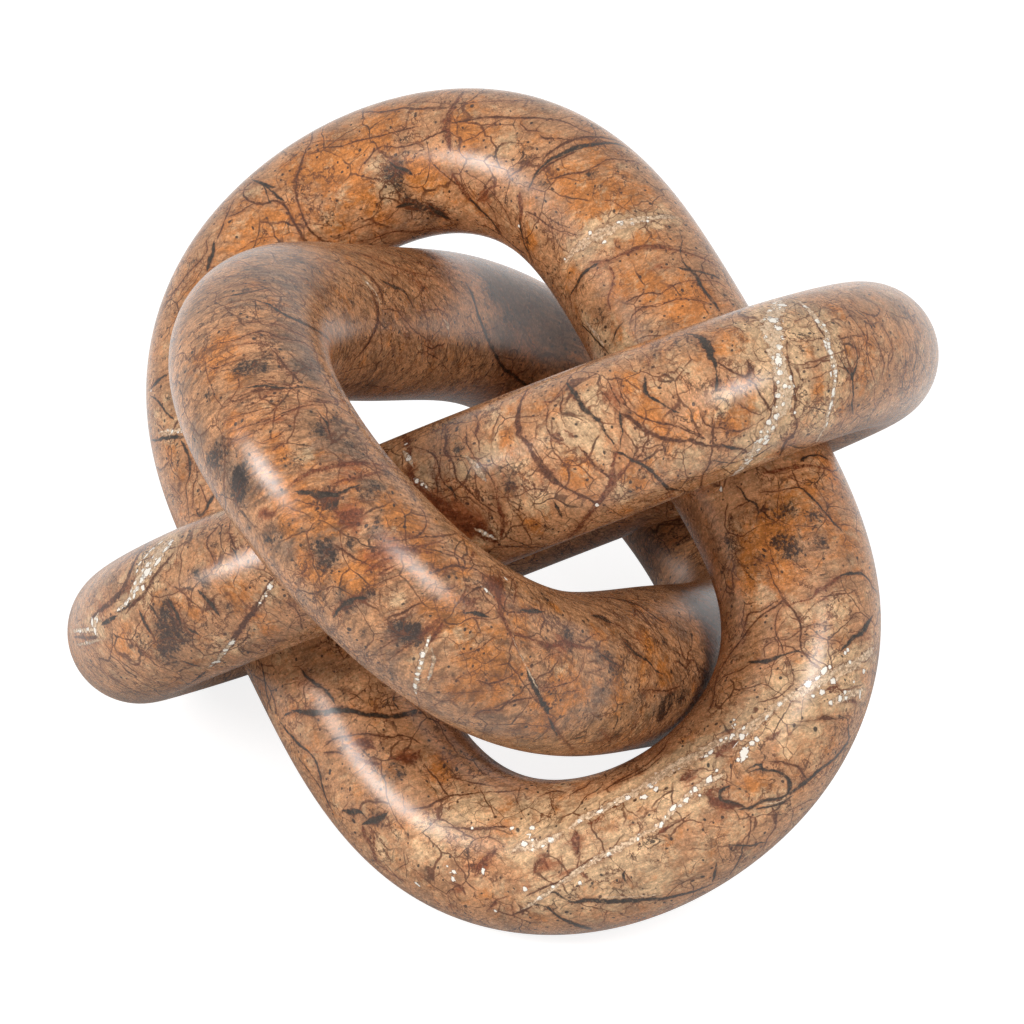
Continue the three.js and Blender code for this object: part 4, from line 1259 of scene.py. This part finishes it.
def in_view(skins, place, normal):
    """Whether the photograph's camera sees a place on the stone."""
    sight = Vector(place) - CAMERA_AT / MM
    if normal.dot(sight) > -GRAZING * sight.length:
        return False
    for skin in skins:
        away = skin.tree.ray_cast(CAMERA_AT / MM, sight.normalized())[3]
        if away is not None and away < sight.length - SIGHT_ROOM:
            return False
    return True


def place_by_chance(skin, chance):
    start = Vector(skin.points[chance.randrange(len(skin.points))])
    place, normal, _, _ = skin.tree.find_nearest(start)
    return place, normal


def wander(skin, skins, chance, length):
    """A line that wanders over the hidden stone, and stops where it comes into view."""
    place, normal = place_by_chance(skin, chance)
    heading = normal.orthogonal().normalized()
    heading.rotate(Quaternion(normal, chance.uniform(0, math.tau)))
    bend = 0
    places, normals = [], []
    while len(places) * STRIDE < length and not in_view(skins, place, normal):
        places.append(place)
        normals.append(normal)
        bend = BEND_KEPT * bend + chance.gauss(0, BEND_CHANGE)
        heading.rotate(Quaternion(normal, bend + chance.gauss(0, KINK)))
        place, normal, _, _ = skin.tree.find_nearest(place + heading * STRIDE)
        heading = (heading - normal * heading.dot(normal)).normalized()
    return np.array(places), np.array(normals)


def lay_hidden_marks(skin, skins, seed):
    chance = random.Random(seed)
    for kind, count in HIDDEN_VEINS.items():
        for _ in range(count):
            length = min(LONGEST, SHORTEST + chance.expovariate(1 / MEAN_MORE))
            places, normals = wander(skin, skins, chance, length)
            if len(places) < FEWEST_STRIDES:
                continue
            widest = WIDEST[kind] * chance.uniform(*SWELL_BETWEEN)
            swells = [SWELL_END, *(chance.uniform(*SWELL_BETWEEN) for _ in range(3)), SWELL_END]
            swell = np.interp(np.linspace(0, 1, len(places)), SWELL_AT, swells)
            lay_vein_and_zone(skin, places, normals, widest * swell, kind)
    for kind, count in HIDDEN_PATCHES.items():
        for _ in range(count):
            place, normal = place_by_chance(skin, chance)
            radius = chance.uniform(PATCH_LEAST, PATCH_REACH[kind])
            strength = chance.uniform(*PATCH_STRENGTHS)
            if not in_view(skins, place, normal):
                lay_patch(skin, np.array(place), radius, strength, kind)


def store(mesh, name, values):
    attribute = mesh.attributes.new(name, "FLOAT_VECTOR", "POINT")
    attribute.data.foreach_set("vector", np.ascontiguousarray(values, np.float32).ravel())


def store_marks(mesh, skin):
    for layer, values in enumerate(skin.veins):
        store(mesh, f"vein_{layer}", values)
    for layer, values in enumerate(skin.crystals):
        store(mesh, f"crystal_{layer}", values)
    for index, kinds in enumerate(PATCH_KINDS):
        values = np.zeros((len(skin.points), 3))
        for column, kind in enumerate(kinds):
            values[:, column] = skin.patches[kind]
        store(mesh, f"patch_{index}", values)


# Marble
#
# All sizes in the marble are millimetres. Its plain pattern is solid: each vein is a thin sheet
# that goes through the stone, and shows wherever the surface cuts it. A shift of a pattern only
# keeps it apart from the others.


def stone_colour(red, green, blue):
    """A colour given as it shows on a screen, from 0 to 255."""
    def linear(value):
        value = value / 255
        return value / 12.92 if value <= 0.04045 else ((value + 0.055) / 1.055) ** 2.4
    return linear(red), linear(green), linear(blue), 1


TAN = stone_colour(205, 149, 105)
OCHRE = stone_colour(206, 130, 66)
CREAM = stone_colour(229, 188, 144)
RUST = stone_colour(148, 76, 38)
ASH = stone_colour(140, 114, 94)
NET_BROWN = stone_colour(104, 60, 36)
DARK_CRACK = stone_colour(66, 42, 30)
RED_BROWN = stone_colour(116, 60, 34)
VEIN_BROWN = stone_colour(98, 56, 33)
GREEN_BLACK = stone_colour(60, 48, 38)
SOOT = stone_colour(42, 34, 32)
GRAIN_WHITE = stone_colour(255, 248, 236)
GRAIN_PALE = stone_colour(230, 202, 170)
GRAIN_GREY = stone_colour(188, 152, 120)

# What differs from link to link.
# offset: where in the quarry block its plain pattern comes from.
# ochre, cream, ash: how much of each colour there is beside tan, from 0 to 1.
# bedding: direction across the stone's fine layers. streaks: how plainly they show.
# soot: how much of it is clouded dark. dots: share of the places for a dark dot that have one.
# net: how much of the net of fine cracks shows. crystals: how much white is in pale veins.
LOOKS = {
    "upright_link": {
        "offset": (0, 0, 0), "ochre": 0.52, "cream": 0.52, "ash": 0.22, "streaks": 0.65,
        "bedding": (-0.35, 0.55, 0.75), "soot": 0.08, "dots": 0.90, "net": 0.42,
        "crystals": 0.30,
    },
    "front_link": {
        "offset": (310, 40, 120), "ochre": 0.50, "cream": 0.22, "ash": 0.52, "streaks": 1.05,
        "bedding": (-0.25, 0.90, 0.35), "soot": 0.22, "dots": 0.95, "net": 0.47,
        "crystals": 0.55,
    },
    "slanted_link": {
        "offset": (90, 270, 200), "ochre": 0.50, "cream": 0.56, "ash": 0.26, "streaks": 0.60,
        "bedding": (0.75, 0.15, 0.60), "soot": 0.08, "dots": 0.95, "net": 0.50,
        "crystals": 0.85,
    },
}

LAYER_SPEED = 0.42      # how fast the layered pattern changes along the stone's fine layers
DOT_SPACING = 1.25
CRYSTAL_SPACING = 0.9   # of the small crystals in pale veins
JITTER = 0.9            # twice how far a laid vein strays from its line, at most
HALO = 0.22             # rust in the stone beside a laid vein
GLOSS = (0.20, 0.30)    # roughness from the dark grains to the light ones
BUMP_STRENGTH = 0.35
BUMP_DEPTH = 0.05 * MM


def parts_of(tree, attribute):
    """The three numbers of a mark's attribute."""
    vector = add(tree, "ShaderNodeAttribute", {}, output="Vector", attribute_name=attribute)
    split = tree.nodes.new("ShaderNodeSeparateXYZ")
    tree.links.new(vector, split.inputs[0])
    return split.outputs


def broken_off(tree, line, share, gaps):
    """A line that shows only where a noise is above its share's level."""
    return multiply(tree, line, step(tree, gaps, 0.60 - 0.3 * share, 0.70 - 0.3 * share))


def hairlines(tree, place, size, width, breaks, share):
    """Thin broken lines, where a noise of this size crosses its middle."""
    off = difference(tree, noise(tree, place, size, detail=5, roughness=0.62), 0.5)
    line = step(tree, off, 0.3 * width / size, width / size, 1.0, 0.0)
    return broken_off(tree, line, share, noise(tree, place, breaks, detail=3))


def crack_net(tree, place, size, width, breaks, share):
    """Thin lines between cells of this size, broken off where the stone has healed."""
    edge = cells(tree, place, size, "Distance", feature="DISTANCE_TO_EDGE")
    line = step(tree, edge, 0.4 * width / size, width / size, 1.0, 0.0)
    return broken_off(tree, line, share, noise(tree, place, breaks, detail=4, roughness=0.65))


def shaded(tree, colour, value, dark, light, low=0.32, high=0.68):
    """The colour made darker where a noise is low, and lighter where it is high."""
    return blend(tree, 1.0, colour, step(tree, value, low, high, dark, light), "MULTIPLY")


def patchy(tree, value, patch, strength, share, spread=0.20):
    """How far a colour shows: a noise above its share's level, raised by a laid patch."""
    raised = multiply_add(tree, patch, strength, value)
    return step(tree, raised, 0.66 - 0.3 * share, 0.66 - 0.3 * share + spread)


def ground(tree, look, slow, layered):
    """The stone's own colour with its mottles and streaks."""
    ochre_patch, cream_patch, ash_patch = parts_of(tree, "patch_0")
    mottle = noise(tree, slow, 4.5, detail=9, roughness=0.74)
    colour = blend(tree, patchy(tree, mottle, ochre_patch, 0.30, look["ochre"]), TAN, OCHRE)
    pale = noise(tree, shifted(tree, slow, (41, 7, 13)), 2.8, detail=9, roughness=0.78)
    cream = patchy(tree, pale, cream_patch, 0.24, look["cream"], spread=0.22)
    colour = blend(tree, cream, colour, CREAM)
    dull = noise(tree, shifted(tree, layered, (5, 61, 29)), 2.2, detail=8, roughness=0.78)
    ash = patchy(tree, dull, ash_patch, 0.26, look["ash"])
    colour = blend(tree, multiply(tree, ash, 0.75), colour, ASH)
    cloud = noise(tree, shifted(tree, slow, (3, 90, 44)), 6, detail=7, roughness=0.75)
    colour = shaded(tree, colour, cloud, 0.76, 1.12)
    streak = noise(tree, layered, 1.1, detail=7, roughness=0.74)
    return shaded(tree, colour, streak, 1 - 0.5 * look["streaks"], 1.1, low=0.38, high=0.58)


def rusted(tree, colour, layered, patch):
    warm = noise(tree, shifted(tree, layered, (17, 3, 88)), 1.5, detail=8, roughness=0.8)
    rust = step(tree, multiply_add(tree, patch, 0.26, warm), 0.56, 0.76, 0.0, 0.8)
    return blend(tree, rust, colour, RUST)


def sooted(tree, look, colour, slow, patch):
    """A thin dark veil, and dark specks that crowd where it is thickest."""
    cloud = noise(tree, shifted(tree, slow, (77, 19, 5)), 8, detail=5, roughness=0.65)
    cloud = step(tree, cloud, 0.5, 0.8, 0.0, look["soot"])
    thick = multiply_add(tree, calculate(tree, "MINIMUM", patch, 1.0), 0.24, cloud)
    veil = calculate(tree, "MULTIPLY", thick, 1.3, clamp=True)
    colour = blend(tree, veil, colour, SOOT)
    specks = noise(tree, shifted(tree, slow, (7, 1, 50)), 0.6, detail=6, roughness=0.78)
    sooty = step(tree, calculate(tree, "ADD", specks, thick), 0.61, 0.76, 0.0, 0.92)
    return blend(tree, multiply(tree, sooty, step(tree, thick, 0.01, 0.05)), colour, SOOT)


def dotted(tree, look, colour, slow):
    """Single dark dots, crowded here and sparse there."""
    near = cells(tree, slow, DOT_SPACING, "Distance")
    chance = cell_chance(tree, slow, DOT_SPACING)
    crowd = noise(tree, shifted(tree, slow, (31, 8, 2)), 5, detail=3)
    crowd = step(tree, crowd, 0.35, 0.62, 0.25, 1.0)
    least = calculate(tree, "SUBTRACT", 1.0, multiply(tree, crowd, look["dots"]))
    size = add(tree, "ShaderNodeMapRange", {
        "Value": chance, "From Min": least, "From Max": 1.0, "To Min": 0.10, "To Max": 0.25,
    })
    dot = step(tree, calculate(tree, "SUBTRACT", near, size), -0.04, 0.04, 0.9, 0.0)
    dot = multiply(tree, dot, calculate(tree, "GREATER_THAN", chance, least))
    return blend(tree, dot, colour, SOOT)


def breccia(tree, place, share):
    """Pale rubble with a share of white crystals, rimmed brown, which fills wide veins."""
    rubble = noise(tree, place, 0.5, detail=5, roughness=0.75)
    colour = blend(tree, step(tree, rubble, 0.38, 0.56), GRAIN_GREY, GRAIN_PALE)
    near = cells(tree, place, CRYSTAL_SPACING, "Distance")
    chance = cell_chance(tree, place, CRYSTAL_SPACING)
    size = step(tree, chance, 1 - share, 1.0, -0.05, 0.56)
    past = calculate(tree, "SUBTRACT", near, size)
    rim = step(tree, difference(tree, past, 0.06), 0.02, 0.07, 0.7 * share, 0.0)
    colour = blend(tree, rim, colour, NET_BROWN)
    return blend(tree, step(tree, past, -0.02, 0.03, 1.0, 0.0), colour, GRAIN_WHITE)


def vein_tint(tree, tone, pale, depth):
    """The colour of a laid vein: pale rubble, grey, red-brown, brown or black by its tone."""
    tint = blend(tree, step(tree, tone, 0.9, 1.1), pale, GRAIN_GREY)
    tint = blend(tree, step(tree, tone, 1.6, 2.0), tint, RED_BROWN)
    tint = blend(tree, step(tree, tone, 2.4, 3.0), tint, VEIN_BROWN)
    tint = blend(tree, step(tree, tone, 3.4, 4.0), tint, GREEN_BLACK)
    uneven = blend(tree, 1.0, tint, depth, "MULTIPLY")
    return blend(tree, step(tree, tone, 0.4, 0.6), tint, uneven)


def veined(tree, look, colour, slow, place):
    """The laid veins, one layer after the other, and the fine cracks that go out from them."""
    jitter = calculate(tree, "SUBTRACT", noise(tree, place, 1.2, detail=6, roughness=0.75), 0.5)
    jitter = multiply(tree, jitter, JITTER)
    swell = step(tree, noise(tree, place, 1.0, detail=5, roughness=0.7), 0.3, 0.7, 0.60, 1.45)
    beside, run = 0.0, 0.0
    layers = []
    for layer in range(VEIN_LAYERS):
        offset, half, tone = parts_of(tree, f"vein_{layer}")
        away = calculate(tree, "ABSOLUTE", calculate(tree, "ADD", offset, jitter))
        level = calculate(tree, "SUBTRACT", multiply_add(tree, half, swell, -0.04), away)
        layers.append((level, half, tone))
        close = multiply(tree, step(tree, half, 0.02, 0.15), step(tree, level, -0.9, 0.0))
        beside = greater(tree, beside, close)
        is_pale = step(tree, tone, 0.4, 0.6, 1.0, 0.0)
        run = multiply_add(tree, offset, multiply(tree, is_pale, step(tree, half, 0.0, 0.02)), run)
    colour = blend(tree, multiply(tree, beside, HALO), colour, RUST)
    feather = crack_net(tree, wobble(tree, slow, 1.0, 0.4, detail=2), 1.5, 0.08, 2.6, 0.40)
    feather = multiply(tree, feather, multiply(tree, beside, 0.7))
    colour = blend(tree, feather, colour, NET_BROWN)

    # Brown and dark veins fade here and there, and rusty ones are broken up. Pale ones are
    # streaked along their length.
    fade = step(tree, noise(tree, place, 1.6, detail=6, roughness=0.78), 0.32, 0.50, 0.5, 1.0)
    side = combine(tree, "MULTIPLY", run, (1.1, 0.8, 1.0))
    drawn_out = shifted(tree, scaled(tree, place, 0.3), side)
    streaks = noise(tree, drawn_out, 0.9, detail=7, roughness=0.78)
    pale_fade = step(tree, streaks, 0.40, 0.56, look["crystals"], 1.0)
    pale = breccia(tree, wobble(tree, place, 0.8, 0.15, detail=2), look["crystals"])
    broken = step(tree, noise(tree, place, 0.7, detail=6, roughness=0.8), 0.42, 0.54, 0.45, 1.0)
    depth = step(tree, noise(tree, place, 0.6, detail=6, roughness=0.8), 0.38, 0.62, 0.45, 1.25)
    for level, half, tone in layers:
        is_rusty = step(tree, difference(tree, tone, TONES["rust"]), 0.1, 0.4, 1.0, 0.0)
        is_dark = step(tree, tone, 0.4, 0.6)
        dark_fade = blend_values(tree, is_rusty, fade, broken)
        shown = blend_values(tree, is_dark, pale_fade, dark_fade)
        body = multiply(tree, step(tree, level, -0.06, 0.08), shown)
        colour = blend(tree, body, colour, vein_tint(tree, tone, pale, depth))
        rim = step(tree, calculate(tree, "ABSOLUTE", level), 0.03, 0.16, 1.0, 0.0)
        rim = multiply(tree, rim, step(tree, half, 0.12, 0.4, 0.0, 0.5))
        colour = blend(tree, multiply(tree, rim, shown), colour, VEIN_BROWN)
    return colour


def with_crystals(tree, colour, place):
    """Single white crystals with a thin brown rim."""
    ragged = noise(tree, place, 0.5, detail=3, roughness=0.6)
    ragged = step(tree, ragged, 0.25, 0.75, -0.45, 0.45)
    for layer in range(CRYSTAL_LAYERS):
        along, across, none = parts_of(tree, f"crystal_{layer}")
        flat = add(tree, "ShaderNodeCombineXYZ", {0: along, 1: across})
        reach = calculate(tree, "ADD", measure(tree, "LENGTH", flat), ragged)
        reach = multiply_add(tree, none, FAR, reach)
        colour = blend(tree, step(tree, reach, 1.15, 1.45, 0.7, 0.0), colour, VEIN_BROWN)
        colour = blend(tree, step(tree, reach, 0.85, 1.1, 1.0, 0.0), colour, GRAIN_WHITE)
    return colour


def cracked(tree, look, colour, slow):
    """The net of fine cracks all over the stone."""
    net = look["net"]
    folded = wobble(tree, slow, 3.2, 0.8, detail=4)
    wide, fine = shifted(tree, slow, (9, 33, 4)), shifted(tree, slow, (63, 2, 18))
    nets = [
        (crack_net(tree, folded, 3.4, 0.09, 7, net), 0.75),
        (crack_net(tree, shifted(tree, folded, (9, 33, 4)), 7.5, 0.15, 14, net + 0.1), 0.9),
        (hairlines(tree, wide, 5.0, 0.10, 8, net), 0.85),
        (hairlines(tree, fine, 2.4, 0.05, 5, net - 0.1), 0.6),
    ]
    dark = step(tree, noise(tree, slow, 3, detail=4), 0.46, 0.66)
    crack = blend(tree, dark, NET_BROWN, DARK_CRACK)
    for lines, strength in nets:
        colour = blend(tree, multiply(tree, lines, strength), colour, crack)
    return colour


def marble(node):
    look = LOOKS[node]
    material = bpy.data.materials.new(node + "_marble")
    material.use_nodes = True
    tree = material.node_tree
    shader = tree.nodes["Principled BSDF"]
    place = scaled(tree, object_place(tree), 1 / MM)
    block = shifted(tree, place, look["offset"])
    slow = wobble(tree, block, 14, 3, detail=3)

    # A place that changes fastest along the bedding, so that noise there runs in streaks.
    bedding = tuple(Vector(look["bedding"]).normalized())
    across = measure(tree, "DOT_PRODUCT", wobble(tree, block, 20, 4, detail=4), bedding)
    lift = scaled(tree, bedding, across)
    layered = shifted(tree, scaled(tree, slow, LAYER_SPEED), lift)

    soot_patch, rust_patch, _ = parts_of(tree, "patch_1")
    colour = ground(tree, look, slow, layered)
    colour = rusted(tree, colour, layered, rust_patch)
    colour = sooted(tree, look, colour, slow, soot_patch)
    colour = dotted(tree, look, colour, slow)
    colour = cracked(tree, look, colour, slow)
    colour = veined(tree, look, colour, slow, place)
    grain = noise(tree, block, 0.5, detail=5, roughness=0.82)
    colour = shaded(tree, colour, grain, 0.66, 1.24)
    colour = with_crystals(tree, colour, place)
    tree.links.new(colour, shader.inputs["Base Color"])
    tree.links.new(step(tree, grain, 0.3, 0.7, *GLOSS), shader.inputs["Roughness"])
    shader.inputs["IOR"].default_value = 1.5
    shader.inputs["Specular IOR Level"].default_value = 0.46
    bump = {"Strength": BUMP_STRENGTH, "Distance": BUMP_DEPTH, "Height": grain}
    tree.links.new(add(tree, "ShaderNodeBump", bump), shader.inputs["Normal"])
    return material


add_camera()
add_room()
add_floor()
for name, (place, side, power, mirrored) in LAMPS.items():
    add_lamp(name, place, side, power, mirrored)

pieces = {
    node: make_link(node, link, seed)
    for seed, (node, link) in enumerate(LINKS.items(), start=1)
}
skins = {node: Skin(piece.data) for node, piece in pieces.items()}
for seed, (node, skin) in enumerate(skins.items(), start=1):
    lay_picked_marks(skin, node)
    lay_hidden_marks(skin, list(skins.values()), seed)
    store_marks(pieces[node].data, skin)
    pieces[node].data.materials.append(marble(node))

bpy.context.scene.view_settings.view_transform = "Standard"
